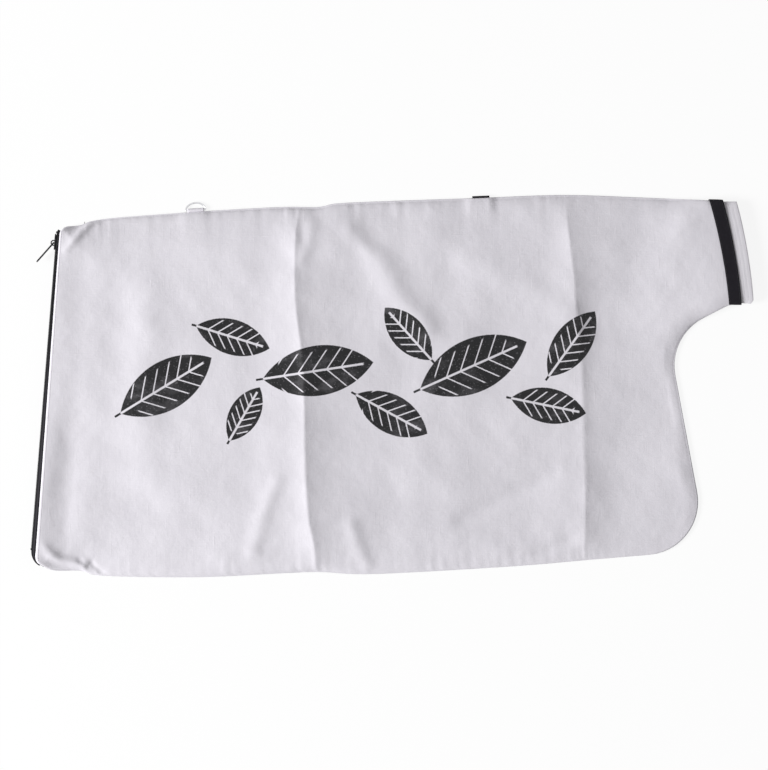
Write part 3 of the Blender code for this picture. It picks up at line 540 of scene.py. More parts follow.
def edge_roll(distance, radius=0.0011):
    """How far the cloth has dropped at a distance inside the seam's edge: a quarter round."""
    short = np.clip(1 - distance / radius, 0, 1)
    return radius * (1 - np.sqrt(1 - short**2))


def crease(line, left, right, drop):
    """A sharp ridge along a line that runs down the bag; the cloth lies lower by the drop on its right.

    left holds pairs of height and length, right pairs of share and length; each falls to a third over its
    length."""
    curve = through(np.array(line)[::-1])
    off = x - np.interp(y, curve[:, 1], curve[:, 0])
    rises = sum(high * np.exp(np.minimum(off, 0) / long) for high, long in left)
    crest = sum(high for high, _ in left) + drop
    falls = crest * sum(share * np.exp(-np.maximum(off, 0) / long) for share, long in right) - drop
    return np.where(off < 0, rises, falls)


def wrinkle(points, height, half):
    """A ridge or furrow along a smooth line: a bell over the distance from it."""
    line = through(points, 10)
    gap = np.full(x.shape, np.inf)
    for a, b in zip(line[:-1], line[1:]):
        way = b - a
        share = np.clip(((x - a[0]) * way[0] + (y - a[1]) * way[1]) / (way @ way), 0, 1)
        gap = np.minimum(gap, np.hypot(x - a[0] - share * way[0], y - a[1] - share * way[1]))
    return height * np.exp(-(gap / half) ** 2)


def wrinkled(lines):
    """The sum of some ridges and furrows."""
    return sum(wrinkle(*line) for line in lines)


CREASE_ONE = ((-0.1085, 0.23), (-0.1115, 0.205), (-0.1152, 0.1748), (-0.1152, 0.1028), (-0.1074, 0.038),
              (-0.105, 0.0068), (-0.1038, -0.077), (-0.1026, -0.113), (-0.099, -0.161),
              (-0.093, -0.191), (-0.089, -0.24))
CREASE_TWO = ((0.206, 0.24), (0.213, 0.1748), (0.219, 0.1268), (0.2202, 0.1028), (0.2262, 0.0452),
              (0.229, 0.0068), (0.231, -0.077), (0.2322, -0.113), (0.2322, -0.161), (0.231, -0.23))
WRINKLES = (
    (((-0.0498, 0.1844), (-0.03, 0.165)), 0.0016, 0.01),
    (((-0.0162, 0.1508), (-0.0018, 0.1268), (0.0138, 0.1028), (0.0402, 0.0728)), 0.003, 0.016),
    (((0.0906, 0.152), (0.15, 0.123), (0.213, 0.0872)), 0.0014, 0.016),
    (((0.0846, -0.16), (0.14, -0.133), (0.1938, -0.106)), -0.0015, 0.011),
    (((0.1758, -0.2008), (0.194, -0.194), (0.2118, -0.1852)), -0.0013, 0.008),
    (((-0.1374, -0.1156), (-0.154, -0.156), (-0.1662, -0.1972)), 0.0018, 0.009),
    (((-0.0474, -0.1672), (-0.039, -0.195), (-0.027, -0.22)), 0.0018, 0.009),
    (((-0.1098, 0.2012), (-0.1086, 0.188), (-0.1074, 0.1748)), -0.0005, 0.005),
    (((-0.095, 0.195), (-0.097, 0.175), (-0.107, 0.1484)), 0.001, 0.007),
    (((-0.292, 0.1), (-0.29, 0.05), (-0.294, -0.01), (-0.29, -0.11)), 0.0026, 0.024),
)
CORNER_FOLDS = (
    (((-0.356, 0.201), (-0.3636, 0.1928), (-0.3732, 0.1826), (-0.3828, 0.1718),
      (-0.3912, 0.1634)), 0.0026, 0.005),
    (((-0.388, 0.19), (-0.393, 0.18)), -0.001, 0.004),
    (((-0.4218, -0.1888), (-0.4098, -0.2008), (-0.3978, -0.208), (-0.3834, -0.2116),
      (-0.369, -0.2152)), 0.0034, 0.006),
    (((-0.3738, -0.2092), (-0.3642, -0.2164)), -0.0011, 0.0032),
    (((-0.3594, -0.2128), (-0.3474, -0.2236)), -0.0011, 0.0032),
)


def soft_waves(seed, count, short, long, slope):
    """A sum of gentle sine waves of random direction and phase, each as steep as the others."""
    draw = np.random.default_rng(seed)
    total = np.zeros_like(x)
    for wave, turn, phase in zip(draw.uniform(short, long, count), draw.uniform(0, math.pi, count),
                                 draw.uniform(0, 2 * math.pi, count)):
        total += slope * wave / (2 * math.pi) * np.sin(
            2 * math.pi * (x * math.cos(turn) + y * math.sin(turn)) / wave + phase)
    return total


def puckers(distance, along, seed, deep, reach):
    """Small ripples square to a seam, which the stitching draws up; they fade over reach into the cloth."""
    draw = np.random.default_rng(seed)
    total = np.zeros_like(x)
    for wave, phase in zip(draw.uniform(0.006, 0.022, 7), draw.uniform(0, 2 * math.pi, 7)):
        total += np.sin(2 * math.pi * along / wave + phase)
    return deep * total / math.sqrt(7) * np.exp(-distance / reach) * smooth(distance / 0.004)


def back_height():
    """Outer surface of the back panel, flat on the floor away from its rims."""
    flange = 0.003 * smooth(columns / 0.02)
    wide = mix(0.016, mix(0.005, 0.042, near_zip), near_neck)
    full = loft(to_top, flange, wide, 2.2) * loft(to_low, flange, wide, 2.2)
    rim_low = rim - CLEAR / 2 - CLOTH
    at_zip = HEM_LIFT * (1 - smooth(columns / 0.018))
    at_neck = (NECK_LEVEL - NECK_PANEL_HALF) * (1 - off_strap)
    quick = np.minimum(1.0, full * mix(1.0, 1.35, near_neck))
    return rim_low + (at_zip + at_neck - rim_low) * quick + edge_roll(inside) * smooth(columns / 0.01)


def front_height():
    """Outer surface of the front panel: loft between the rims, two creases, wrinkles and soft waves.

    The loft is less towards the lower left and over the whole right side, and no point comes nearer to the
    back panel than the cloth allows: a root of squares eases the surface on to that floor."""
    body = mix(mix(*LEFT_LOFT, smooth(-(y + 0.02) / 0.1)), BODY_LOFT, smooth(columns / 0.26))
    body = mix(body, mix(*RIGHT_LOFT, smooth((y - 0.06) / 0.1)), smooth((x + 0.06) / 0.34))
    body = body + (ZIP_LEVEL + HEM_RISE - body) * (1 - smooth(columns / HEM_FALL))
    folded = crease(CREASE_ONE, ((0.0042, 0.018), (0.001, 0.06)), ((0.36, 0.016), (0.64, 0.05)),
                    mix(0.0034, 0.0016, smooth((y + 0.03) / 0.15)))
    folded = folded + crease(CREASE_TWO, ((0.0019, 0.019), (0.0007, 0.06)), ((1.0, 0.018),), 0.002)
    before = NECK_PLACE[0] - (y - NECK_PLACE[1]) * math.tan(math.radians(NECK_TILT)) - x - NECK_HOLD
    crown = mix(NECK_LEVEL + NECK_PANEL_HALF, body, smooth(before / 0.075))
    crown = crown + folded * smooth(columns / 0.024) * smooth(before / 0.11)
    flange = 0.0022 * smooth(columns / 0.02) * near_neck
    side = smooth((low_columns - low_before_arc + 0.03) / 0.06) * near_neck
    wide = mix(0.016, mix(0.005, 0.056, near_zip), near_neck)
    power = mix(1.5, 1.7, near_neck)
    full = loft(to_top, flange, wide, power) * loft(to_low, flange, mix(wide, 0.014, side), power)
    rim_top = rim + CLEAR / 2 + CLOTH + sewn_lift() * (1 - smooth(v * 2))
    z = rim_top + (crown - rim_top) * full
    free = smooth(columns / 0.024) * off_strap
    z += free * smooth(inside / 0.02) * (wrinkled(WRINKLES) + soft_waves(5, 9, 0.05, 0.17, 0.018))
    z += free * smooth(inside / 0.006) * wrinkled(CORNER_FOLDS)
    z += free * smooth(inside / 0.012) * soft_waves(11, 12, 0.016, 0.045, 0.008)
    drawn = 1 + 0.8 * np.exp(-((x + 0.035) / 0.06) ** 2) - 0.8 * smooth((x - 0.19) / 0.05)
    calm = smooth((low_before_arc - 0.02 - low_columns) / 0.05) * smooth((low_columns - 0.05) / 0.06)
    z += free * calm * puckers(to_low, low_columns, 3, 0.0004, 0.016)
    z += free * drawn * puckers(to_top, columns, 4, 0.00026, 0.014)
    least = back_height() + 2 * CLOTH + CLEAR
    z = least + 0.5 * (z - least + np.hypot(z - least, 0.001 * smooth(inside / 0.012) * free))
    at_edges = edge_roll(inside) * smooth(columns / 0.01) + edge_roll(columns, 0.0009)
    return z - at_edges


def lens(w, px, py, middle, turn, long, wide):
    """A leaf's outline and ribs: 1 inside two circle arcs that meet at the tips, 0 on its ribs and outside.

    The arcs' radius is (long2 + wide2) / 4 wide; a rib runs down the middle and others slant off it."""
    c, s = math.cos(turn), math.sin(turn)
    u = (px - middle[0]) * c + (py - middle[1]) * s
    t = abs((py - middle[1]) * c - (px - middle[0]) * s)
    radius = (long**2 + wide**2) / (4 * wide)
    sunk = radius - wide / 2
    blade = ((u * u + (t + sunk) * (t + sunk)) ** 0.5).between(radius + 0.0004, radius - 0.0004)
    spine = t.between(0.0009, 0.0017).higher(u.between(long * 0.4, long * 0.42))
    rib = w.math("PINGPONG", u - t * 0.9 + 1.0, long * 0.065)
    ribs = rib.between(0.0006, 0.0013).higher(t.between(wide * 0.36, wide * 0.4))
    ribs = ribs.higher(abs(u).between(long * 0.33, long * 0.35))
    stalk = t.between(0.0017, 0.0009) * (u + long * 0.56).between(-0.0004, 0.0004)
    stalk = stalk * u.between(0.0, -0.0004)
    return (blade * spine * ribs).higher(stalk * (1 - blade))


LEAVES = (
    ((-0.27, 0.0), 0.55, 0.128, 0.058), ((-0.19, 0.058), -0.3, 0.092, 0.042),
    ((-0.176, -0.034), 1.05, 0.074, 0.036), ((-0.088, 0.018), 0.15, 0.134, 0.06),
    ((0.02, 0.062), 2.3, 0.084, 0.04), ((0.0, -0.034), -0.5, 0.098, 0.046),
    ((0.098, 0.024), 0.42, 0.14, 0.064), ((0.188, -0.024), -0.2, 0.092, 0.042),
    ((0.216, 0.05), 0.95, 0.096, 0.044),
)


def printed(w, px, py):
    """1 where the generic print of drifting leaves has ink."""
    ink = None
    for leaf in LEAVES:
        made = lens(w, px, py, *leaf)
        ink = made if ink is None else ink.higher(made)
    return ink


THREAD_GAP = 0.00062


def plain_weave(px, py):
    """Threads over and under each other: the product of a sine across and a sine along."""
    turns = math.pi / THREAD_GAP
    return (px * turns).sine() * (py * turns).sine()


def cloth_surface(with_print):
    """Plain weave with slubs, faint streaks along both threads and, on the front, the print in glossy ink,
    with paler patches in the ink that are painted sheen.
    """
    def surface(w):
        point = place_of(w)
        px, py, _ = point.parts()
        weave = plain_weave(px, py)
        warp = point.noise(60, (14, 0.6, 1), 2.0)
        weft = point.noise(60, (0.6, 14, 1), 2.0)
        slub = warp.between(0.64, 0.74) + weft.between(0.64, 0.74)
        cloud = point.noise(9, detail=3.0)
        shade = 0.5 + (cloud - 0.5) * 0.3 + (warp + weft - 1.0) * 0.35 + slub * 0.06
        colour = shade.colours((0.655, 0.635, 0.69, 1), (0.745, 0.722, 0.765, 1))
        rough = 0.78 + (cloud - 0.5) * 0.1
        crumple = point.noise(55, detail=3.0, roughness=0.55)
        normal = crumple.bump(0.0007)
        if with_print:
            worn = point.noise(420, detail=2.0).between(0.3, 0.4)
            edge = (point.noise(700, detail=1.0) - 0.5) * 0.0006
            ink = printed(w, px + edge, py + edge) * (0.9 + worn * 0.1)
            # Painted sheen: paler patches in the ink stand in for its glossy reflections.
            wear_and_sheen = point.noise(34, (1, 1.6, 1), 4.0, 0.6).between(0.48, 0.74)
            dark = wear_and_sheen.colours((0.004, 0.004, 0.005, 1), (0.055, 0.053, 0.058, 1))
            colour = ink.colours(colour, dark)
            rough = rough - ink * 0.36
            normal = (ink * 0.8 + slub * 0.3).bump(0.00006, normal)
        normal = (weave * 0.5 + slub * 0.5 + warp * 0.4 + weft * 0.4).bump(0.00007, normal)
        return w.skin(colour, rough, normal, 0.3)
    return surface


front_cloth = material("white cloth with leaf print", cloth_surface(True))
white_cloth = material("plain white cloth", cloth_surface(False))

front = np.dstack([plan, front_height()])
front_panel = thicken(grid_mesh("front_cloth", front, front_cloth), CLOTH)
belongs(front_panel, "front_panel")

back = np.dstack([plan, back_height()])
every_other = np.unique(np.append(np.arange(0, len(columns), 2), len(columns) - 1))[::-1]
back_panel = thicken(grid_mesh("back_cloth", back[::2, every_other], white_cloth), CLOTH)
belongs(back_panel, "back_panel")


# The zip: two woven tapes sewn under the hems, with a chain of moulded black resin teeth between them. It
# stands on edge at the open end of the bag, so that from above only the upper tape's fold and the teeth
# beneath it show.

TAPE = 0.0005
TAPE_UNDER = 0.0055
BEAD_TOP = 0.0038
TAPE_BEND = 0.00595
TAPE_ROUND = 0.0012
TAPE_TOP_ROW = 2
BEAD_HALF = 0.00078
BEAD_LEVEL = BEAD_TOP - 0.00075
PITCH = 0.004
TOOTH_THICK = 0.0022
TOOTH_LAP = 0.0019
STOP_LONG = 0.0028
SLIDER_LONG = 0.019
slider_start = ZIP_TOP_BEND[0] * ZIP_TOP_BEND[1] + SLIDER_LONG / 2
chain_end = zip_end - ZIP_LOW_BEND[0] * ZIP_LOW_BEND[1]
teeth_end = chain_end - STOP_LONG - 2 * CLEAR


def turned_corner(first, corner, last, radius, count=6):
    """A section's corner as an arc: points where two lines are rounded, each row on its own lines."""
    near, far = corner + unit(first - corner) * radius, corner + unit(last - corner) * radius
    share = np.linspace(0, 1, count)[:, None, None]
    return (1 - share) ** 2 * near + 2 * share * (1 - share) * corner + share**2 * far


def zip_tape(name, panel_surface, side):
    """The tape stands beside the teeth, turns over in a soft fold and runs in under the cloth's hem."""
    s = v[TAPE_TOP_ROW:, 0] * zip_end
    hem = panel_surface[TAPE_TOP_ROW:, 0]
    inward = unit(panel_surface[TAPE_TOP_ROW:, 5] - hem)
    seat = np.array([0, 0, side * (CLOTH + CLEAR + TAPE / 2 + 0.0009)])
    plane = zip_path.at(s)
    room = np.clip(side * (hem[:, 2] - ZIP_LEVEL) - CLOTH - CLEAR - TAPE, 0.0008, TAPE_BEND)
    bead = np.column_stack([plane, ZIP_LEVEL + side * np.minimum(BEAD_TOP + CLEAR, room * 0.7)])
    fold = np.column_stack([plane, ZIP_LEVEL + side * room])
    under = hem - seat
    under[:, 2] = ZIP_LEVEL + side * (room + 0.00012 * np.sin(s / 0.0061) * np.sin(s / 0.023 + 1.0))
    arc = turned_corner(bead[None], fold[None], under[None], TAPE_ROUND * room[:, None] / TAPE_BEND)
    flat = [mix(arc[-1], under, share) for share in (0.2, 0.4, 0.6, 0.8, 1.0)]
    flat.append(under + inward * TAPE_UNDER)
    strip = np.stack([bead, mix(bead, arc[0], 0.5), *arc, *flat], axis=1)
    strip = strip if side > 0 else strip[:, ::-1]
    # Painted shade: the edge mark is 1 at the fold beside the teeth and under the cloth's hem, and lower over
    # the flat between; over the upper part of the zip it is near 1 across the whole width.
    painted_shade_and_dark_top = np.array([1, 1] + [1] * len(arc) + [0.3, 0, 0.5, 1, 1, 1])[::side]
    painted_shade_and_dark_top = np.maximum(painted_shade_and_dark_top[None], 1 - 0.9 * smooth((s / zip_end - 0.25) / 0.35)[:, None])
    tape = grid_mesh(name, strip, tape_weave, along=s[:, None], across=distances(strip[60])[None], edge=painted_shade_and_dark_top)
    return thicken(tape, TAPE, 0)


def tape_surface(w):
    """Black woven tape: fine ribs along it, crossed by picks, and a little lint; near-black where the edge
    mark is set, which is painted shade at the fold and under the cloth's hem, and the whole width over the
    upper part of the zip.
    """
    ribs = (w.mark("across") * (2 * math.pi / 0.0011)).sine() * 0.5 + 0.5
    picks = (w.mark("along") * (2 * math.pi / 0.0009)).sine() * 0.5 + 0.5
    lint = place_of(w).noise(900, detail=2.0).between(0.6, 0.75)
    fuzzy = ribs * 0.5 + picks * 0.3 + lint * 0.4
    colour = fuzzy.colours((0.032, 0.03, 0.036, 1), (0.062, 0.059, 0.068, 1))
    # The edge mark paints the tape near-black: painted shade at the fold and under the hem.
    colour = w.mark("edge").colours(colour, (0.003, 0.003, 0.004, 1))
    return w.skin(colour, 0.85, (ribs * 0.6 + picks * 0.4).bump(0.00012), 0.25)


def resin_surface(w):
    """Moulded black resin: satin, with a faint flow texture and paler worn spots."""
    point = place_of(w)
    flow = point.noise(700, (1, 1, 3), 2.0)
    wear_and_sheen = point.noise(260, detail=3.0).between(0.58, 0.72)
    colour = wear_and_sheen.colours((0.007, 0.007, 0.008, 1), (0.02, 0.02, 0.022, 1))
    return w.skin(colour, 0.34 + wear_and_sheen * 0.16, flow.bump(0.00003), 0.4)


tape_weave = material("black woven zip tape", tape_surface)
black_resin = material("black moulded resin", resin_surface)
for name, surface, side in (("tape_upper", front, 1), ("tape_lower", back, -1)):
    belongs(zip_tape(name, surface, side), "zip_" + name)


def tube_piece(name, rings, look):
    """Closed tubes: rings is tubes by rings by points round, and each tube's two ends are one face each."""
    number = np.arange(rings[..., 0].size).reshape(rings.shape[:3])
    turned = np.roll(number, -1, axis=2)
    sides = np.stack([number[:, :-1], turned[:, :-1], turned[:, 1:], number[:, 1:]], axis=-1).reshape(-1, 4)
    ends = np.concatenate([number[:, 0, ::-1], number[:, -1]])
    mesh = bpy.data.meshes.new(name)
    mesh.from_pydata(rings.reshape(-1, 3).tolist(), [], sides.tolist() + ends.tolist())
    mesh.shade_smooth()
    return shown(name, mesh, look)


def chain_frame(s):
    """Points on the chain's middle line, the way down it and the way into the bag."""
    zero = np.zeros(len(s))
    down = np.column_stack([down_zip(s), zero])
    inward = np.column_stack([left_of(down), zero])
    return np.column_stack([zip_path.at(s), zero + ZIP_LEVEL]), down, inward


def teeth(name, side, offset):
    """A row of moulded teeth: each is a blunt tube that reaches from the tape's bead past the middle line.

    Its section is a rounded square that swells to a head."""
    s = np.arange(slider_start + offset + PITCH / 4, teeth_end - 0.0008, PITCH)
    middle, down, inward = chain_frame(s)
    reach = np.array([-TOOTH_LAP, -TOOTH_LAP * 0.94, -TOOTH_LAP * 0.4,
                      0.0009, BEAD_TOP - 0.0009, BEAD_TOP - 0.0003])
    half_down = np.array([0.0005, 0.00092, 0.00095, 0.00072, 0.00085, 0.0006])
    half_deep = np.array([0.0007, 0.00105, TOOTH_THICK / 2, TOOTH_THICK / 2, 0.00105, 0.0007])
    turn = 2 * math.pi * (np.arange(8) + 0.5) / 8
    wide, deep = np.sign([np.cos(turn), np.sin(turn)]) * np.abs([np.cos(turn), np.sin(turn)]) ** 0.55
    rings = (middle[:, None, None] + down[:, None, None] * (half_down[:, None] * wide)[None, :, :, None]
             + inward[:, None, None] * (half_deep[:, None] * deep)[None, :, :, None]
             + np.array([0, 0, side]) * reach[None, :, None, None])
    row = tube_piece(name, rings if side < 0 else rings[:, ::-1], black_resin)
    belongs(row, "zip_" + name)


def hoops(line, side_way, up_way, radius, around):
    """Rings of points round a line; the two ways give the plane of each ring."""
    turn = 2 * math.pi * np.arange(around)[:, None] / around
    side_way, up_way = np.atleast_2d(side_way)[:, None], np.atleast_2d(up_way)[:, None]
    return line[:, None] + (side_way * np.cos(turn) + up_way * np.sin(turn)) * radius


UP = np.array([0.0, 0.0, 1.0])
teeth("teeth_upper", 1, 0.0)
teeth("teeth_lower", -1, PITCH / 2)
middle, _, inward = chain_frame(np.linspace(slider_start, teeth_end, 130))
for name, side in (("bead_upper", 1), ("bead_lower", -1)):
    rings = hoops(middle + UP * side * BEAD_LEVEL, UP, inward, BEAD_HALF, 10)
    belongs(tube_piece(name, rings[None], black_resin))


# The stops, slider and pull are the cast and moulded solids themselves: their edges are broken and their
# finish is worn black coating over metal on the slider and pull, and moulded resin on the stops.

def coated_surface(w):
    """Black coating on cast metal: satin, with fine pitting and bare grey metal worn through in places."""
    point = place_of(w)
    pits = point.noise(1500, detail=2.0)
    wear_and_sheen = point.noise(330, detail=4.0, roughness=0.65).between(0.62, 0.72)
    colour = wear_and_sheen.colours((0.007, 0.007, 0.008, 1), (0.2, 0.2, 0.21, 1))
    return w.skin(colour, 0.42 + pits * 0.15, pits.bump(0.00003), 0.3, 0.1 + wear_and_sheen * 0.8)


def broken_edges(node, width, look):
    """Merges the solid's loose triangles, rounds its edges and gives it a finish."""
    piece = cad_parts[node]
    piece.modifiers.new("one skin", "WELD").merge_threshold = 0.00001
    edge = piece.modifiers.new("broken edges", "BEVEL")
    edge.width = width
    edge.segments = 2
    edge.limit_method = "ANGLE"
    edge.angle_limit = math.radians(38)
    piece.modifiers.new("even shading", "WEIGHTED_NORMAL")
    piece.data.materials.clear()
    piece.data.materials.append(look)


coated = material("black coated casting", coated_surface)
broken_edges("zip_slider", 0.00018, coated)
broken_edges("zip_pull", 0.00016, coated)
for node in ("zip_bottom_stop", "zip_top_stop_upper", "zip_top_stop_lower"):
    broken_edges(node, 0.00012, black_resin)


# The neck: the cuff is a doubled hem of the same cloth, run down with three rows of stitches, and a black
# webbing strap goes round the neck over the seam between the cuff and the panels.

CUFF_BORE = 0.0056
CUFF_THICK = 0.0012
CUFF_LAP = 0.006
CUFF_EASE = 0.0024
CUFF_CORNER = 0.17
STITCH_ROWS = (0.54, 0.72, 0.93)
STRAP_THICK = 0.001
STRAP_SLACK = 0.0008
CUFF_HIGH = CUFF_BORE / 2 + CUFF_THICK
STRAP_HIGH = NECK_PANEL_HALF + STRAP_SLACK + STRAP_THICK
STRAP_OUT = 2 * CLEAR + STRAP_THICK
AROUND_NECK = 240
cuff_start = -CUFF_LAP / NECK_STEP
strap_half = STRAP_WIDE / 2 / NECK_STEP


def neck_ring(name, places, insets, swell, half_high, power, thickness, look, corner=0.0):
    """A flattened tube on the neck's lines: at each place it is narrower by an inset and thicker by a swell.

    Each ring is a superellipse, its points closer where it turns over at the sides. Towards its lower side
    the mouth is drawn in by up to a corner's share of the step, which rounds it off."""
    a = 2 * math.pi * np.arange(AROUND_NECK) / AROUND_NECK
    round_wide, round_high = np.sign([np.cos(a), np.sin(a)]) * np.abs([np.cos(a), np.sin(a)]) ** (2 / power)
    rings = []
    for w, inset, grown in zip(places, insets, swell):
        share = (neck_half(w) - inset) * round_wide / neck_half(w)
        turned = corner * np.clip(w, 0, 1) ** 3 * np.clip((-share - 0.91) / 0.09, 0, 1) ** 2
        rings.append(neck_point(w - turned, share, NECK_LEVEL + (half_high + grown) * round_high))
    rings = np.stack(rings)[::-1]
    across = np.array(places)[::-1, None] * NECK_STEP
    tube = grid_mesh(name, rings, look, around=True, along=distances(rings[0])[None], across=across)
    return thicken(tube, thickness)


def cuff_surface(w):
    """The bag's cloth, doubled and pressed, with its weave and faint creases across it; its colours are
    painted lighter than the panels' cloth, painted light that makes up for the shade on the cuff's slope.
    """
    point = place_of(w)
    px, py, _ = point.parts()
    weave = plain_weave(px, py)
    warp = point.noise(60, (14, 0.6, 1), 2.0)
    cloud = point.noise(22, detail=3.0)
    shade = 0.5 + (cloud - 0.5) * 0.4 + (warp - 0.5) * 0.4
    # Painted light: paler than the panels' cloth, to make up for the shade that falls on the cuff's slope.
    colour = shade.colours((0.69, 0.67, 0.715, 1), (0.79, 0.768, 0.808, 1))
    normal = point.noise(90, (1, 0.5, 1), 3.0).bump(0.0006)
    normal = (weave * 0.5 + warp * 0.5).bump(0.00007, normal)
    return w.skin(colour, 0.8, normal, 0.3)


def webbing_surface(w):
    """Black webbing: ribs along the strap, crossed by the weave's steps, with a slight grey bloom."""
    rib = (w.mark("across") * (2 * math.pi / 0.0017)).sine()
    step = (w.mark("along") * (2 * math.pi / 0.0013)).sine()
    twill = rib * step * 0.5 + 0.5
    bloom = place_of(w).noise(140, detail=3.0).between(0.45, 0.75)
    colour = (twill * 0.45 + bloom * 0.3).colours((0.006, 0.005, 0.008, 1), (0.017, 0.015, 0.02, 1))
    return w.skin(colour, 0.88, twill.bump(0.00022), 0.2)


cuff_cloth_painted_light = material("doubled white cloth", cuff_surface)
webbing = material("black webbing", webbing_surface)
past_panels = panel_end + 2 * CLEAR / NECK_STEP
flared = strap_half - 2 * CLEAR / NECK_STEP
cuff_places = np.unique(np.concatenate([np.linspace(cuff_start, 1.0, 44), [past_panels, flared]]))
inset_in = 0.003 + CLOTH + CUFF_EASE
cuff_insets = np.interp(cuff_places, [past_panels, flared, 1.0], [inset_in, 2 * CLEAR, 0.0])
ridges = sum(-0.00018 * np.exp(-((cuff_places - row) * NECK_STEP / 0.0007) ** 2) for row in STITCH_ROWS)
ridges += np.interp(cuff_places, [past_panels, flared, flared + 0.06, 1.0], [0.0, 0.0012, 0.0015, 0.0012])
ridges -= 0.0005 * smooth((cuff_places - 0.97) / 0.03)
cuff = neck_ring("cuff", cuff_places, cuff_insets, ridges, CUFF_HIGH, 4, CUFF_THICK, cuff_cloth_painted_light, CUFF_CORNER)
belongs(cuff, "neck_cuff")

strap_places = np.linspace(-strap_half, strap_half, 21)
rounded = 1 - np.sqrt(1 - np.clip((np.abs(strap_places) / strap_half - 0.93) / 0.07, 0, 1) ** 2)
strap = neck_ring("strap", strap_places, rounded * 0.0003 - STRAP_OUT, rounded * -0.0004, STRAP_HIGH, 6,
                  STRAP_THICK, webbing)
belongs(strap, "neck_strap")


# Sewn into the top seam: a folded tab of the bag's cloth that carries the bright ring, and a stub of black
# webbing. The ring is bent wire, a straight bar through the tab and a low bow beyond it.

TAB_SLACK = 0.0003
RING_OUT = 0.0022
RING_WIRE = 0.0021
RING_HALF = 0.0118
RING_DEEP = 0.0086
BAR_CORNER = 0.0016
LOOP_PROUD = 0.0024
SEWN_IN = 0.01


def seam_frame(distance):
    """Point on the top seam, the direction along it and the direction out of the bag."""
    way = top_seam.heading(distance, 0.004)
    return top_seam.at(distance), way, left_of(way)


def folded_strip(name, distance, section, wide, thickness, look):
    """A strip folded along a section of outward and upward distances, as wide as it runs along the seam."""
    foot, way, out = seam_frame(distance)
    section = np.array(section)
    widths = np.linspace(-wide / 2, wide / 2, 15)[:, None]
    flat = (foot + out * section[:, :1])[None] + way * widths[:, None]
    strip = np.dstack([flat, np.broadcast_to(section[:, 1], flat.shape[:2])])
    return thicken(grid_mesh(name, strip, look, along=distances(section)[None], across=widths), thickness, 0)


def hairpin(turn_at, level, half, count=17):
    """A strip's fold: in along the upper layer, round a half circle and back along the lower one."""
    turns = np.linspace(-0.5, 0.5, count) * math.pi
    bow = [(turn_at + half * math.cos(a), level + half * math.sin(a)) for a in turns]
    inner = np.linspace(-SEWN_IN, turn_at, 6)[:-1]
    return [(d, level - half) for d in inner] + bow + [(d, level + half) for d in inner[::-1]]


seam_floor = SEAM_LEVEL - CLEAR / 2
tab_level = seam_floor + CLEAR + TAB + CLEAR / 2
wrap = RING_WIRE / 2 + TAB_SLACK + TAB / 2
ring_level = max(tab_level, wrap + TAB / 2 + CLEAR / 2)
layer = (TAB + CLEAR) / 2
turns = np.linspace(-0.82, 0.82, 25) * math.pi
loop_round = [(RING_OUT + wrap * math.cos(a), ring_level + wrap * math.sin(a)) for a in turns]
tab_section = [(-SEWN_IN, tab_level - layer), (0.0, tab_level - layer)] + loop_round
tab_section += [(0.0, tab_level + layer), (-SEWN_IN, tab_level + layer)]
tab = folded_strip("ring_tab", RING_PLACE, tab_section, TAB_WIDE, TAB, white_cloth)
belongs(tab, "d_ring_tab")

web_level = seam_floor + CLEAR + LOOP_WEB + CLEAR / 2
web_half = (LOOP_WEB + CLEAR) / 2
web_section = hairpin(LOOP_PROUD - LOOP_WEB / 2 - web_half, web_level, web_half)
stub = folded_strip("webbing_stub", LOOP_PLACE, web_section, LOOP_WIDE, LOOP_WEB, webbing)
belongs(stub, "webbing_loop")


def plated_surface(w):
    """Bright nickel plate on steel wire, with fine drawing lines and a few dull spots."""
    point = place_of(w)
    lines = point.noise(900, (0.4, 1, 1), 2.0)
    dull = point.noise(160, detail=3.0).between(0.6, 0.75)
    colour = dull.colours((0.72, 0.72, 0.74, 1), (0.45, 0.45, 0.46, 1))
    return w.skin(colour, 0.16 + dull * 0.25, lines.bump(0.00002), 0.5, 1.0)


def ring_line():
    """Closed line of the ring in its own plane: half an ellipse and a bar, with small arcs at the corners."""
    bow = RING_HALF * np.exp(1j * np.linspace(0, math.pi, 61))
    bow = bow.real + 1j * bow.imag * RING_DEEP / RING_HALF
    bar = np.linspace(-RING_HALF + BAR_CORNER, RING_HALF - BAR_CORNER, 24) + 0j
    left = [-RING_HALF + 0.00048 - 0.00055j]
    right = [RING_HALF - 0.00048 - 0.00055j]
    line = np.concatenate([bow, left, bar, right])
    for _ in range(2):
        line = (np.roll(line, 1) + 2 * line + np.roll(line, -1)) / 4
    return line


foot, way, out = seam_frame(RING_PLACE)
droop = math.asin((ring_level - RING_WIRE / 2 - CLEAR / 3) / RING_DEEP)
along3 = np.array([*way, 0.0])
out3 = np.array([*(out * math.cos(droop)), -math.sin(droop)])
up3 = np.cross(along3, out3)
line = ring_line()
centre = np.array([*(foot + out * RING_OUT), ring_level])
middle = centre + line.real[:, None] * along3 + line.imag[:, None] * out3
travel = np.roll(line, -1) - np.roll(line, 1)
travel = travel / np.abs(travel)
square_in = travel.imag[:, None] * along3 - travel.real[:, None] * out3
wire = hoops(middle, square_in, up3, RING_WIRE / 2, 16)
wire = np.concatenate([wire, wire[:1]])
ring = grid_mesh("ring_wire", wire, material("bright plated wire", plated_surface), around=True)
ring.modifiers.new("closed", "WELD").merge_threshold = 0.00001
belongs(ring, "d_ring", "d_ring")


# The sewing thread: lockstitch rows hold the cloth's hems to the zip tapes, the cuff's doubled hem and both
# edges of the strap. Each stitch lies proud on the surface and dips in at its ends. One black thread end
# sticks out of the top seam near the zip.

STITCH = 0.0026
STITCH_GAP = 0.0005
THREAD_HALF = 0.0002
HEM_ROW = 2
HEM_ENDS = slice(3, -3)
STRAP_ROWS = (-0.8, 0.8)
THREAD_PLACE = 0.0265
THREAD_WIDE = 0.0007


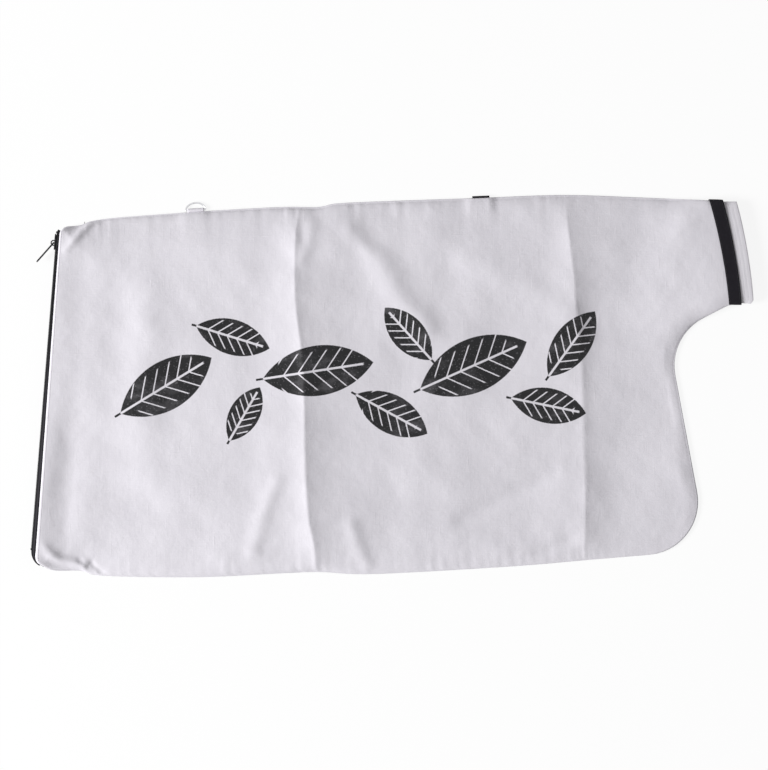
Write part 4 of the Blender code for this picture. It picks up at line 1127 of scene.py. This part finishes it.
def stitches(name, lines, look):
    """Rows of stitches: along each line of points the surface faces up, and a stitch is a tube of six rings.

    A ring's centre is the line's point plus up times its lift; its circle lies across the way of travel."""
    share = np.array([-0.5, -0.44, -0.2, 0.2, 0.44, 0.5])
    lift = THREAD_HALF * np.array([-0.9, 0.0, 0.5, 0.5, 0.0, -0.9])
    thick = THREAD_HALF * np.array([0.5, 0.85, 1.0, 1.0, 0.85, 0.5])
    turn = 2 * math.pi * np.arange(6) / 6
    rows = []
    for line, up in lines:
        along = distances(line)
        count = int(along[-1] / (STITCH + STITCH_GAP))
        places = ((np.arange(count) + 0.5) * along[-1] / count)[:, None] + share * STITCH
        centre = np.stack([np.interp(places, along, line[:, k]) for k in range(3)], axis=-1)
        side = np.cross(up, unit(centre[:, -1:] - centre[:, :1]))
        circle = up * np.cos(turn)[:, None] + side[:, :, None] * np.sin(turn)[:, None]
        rows.append((centre + up * lift[:, None])[:, :, None] + thick[:, None, None] * circle)
    belongs(tube_piece(name, np.concatenate(rows), look))


def neck_lines(places, insets, heights, power):
    """Lines over and under the neck's flattened tubes: a superellipse's height over its width."""
    q = np.linspace(-0.95, 0.95, 100)
    lines = []
    for w, inset, high in zip(places, insets, heights):
        across = q * (neck_half(w) - inset) / neck_half(w)
        rise = high * (1 - np.abs(q) ** power) ** (1 / power)
        lines += [(neck_point(w, across, NECK_LEVEL + side * rise), side * UP) for side in (1, -1)]
    return lines


def thread_surface(light, dark):
    """Twisted thread: fine slanted plies, a little fuzz and a slight sheen."""
    def surface(w):
        point = place_of(w)
        plies = point.noise(2600, (1, 1, 1), 1.0)
        fuzz = point.noise(900, detail=2.0)
        return w.skin(plies.colours(dark, light), 0.55 + fuzz * 0.2, plies.bump(0.00006), 0.4)
    return surface


white_thread = material("white thread", thread_surface((0.74, 0.72, 0.76, 1), (0.62, 0.6, 0.65, 1)))
black_thread = material("black thread", thread_surface((0.03, 0.029, 0.033, 1), (0.008, 0.008, 0.01, 1)))
hem_lines = [(front[HEM_ENDS, HEM_ROW], UP), (back[HEM_ENDS, HEM_ROW], -UP)]
stitches("hem_stitches", hem_lines, white_thread)
row_insets = np.interp(STITCH_ROWS, cuff_places, cuff_insets)
row_heights = CUFF_HIGH + np.interp(STITCH_ROWS, cuff_places, ridges)
stitches("cuff_stitches", neck_lines(STITCH_ROWS, row_insets, row_heights, 4), white_thread)
strap_lines = neck_lines(np.multiply(STRAP_ROWS, strap_half), (-STRAP_OUT,) * 2, (STRAP_HIGH,) * 2, 6)
stitches("strap_stitches", strap_lines, black_thread)

foot, way, out = seam_frame(THREAD_PLACE)
reach = np.linspace(0, 1, 9)
curl = foot + way * (0.0016 * reach**2)[:, None] + out * mix(-0.0016, 0.0022, reach)[:, None]
end_line = np.column_stack([curl, mix(0.0034, 0.0026, reach)])
end_rings = hoops(end_line, UP, [-way[0], -way[1], 0.0], THREAD_WIDE / 2, 8)
belongs(tube_piece("thread_end", end_rings[None], black_thread))
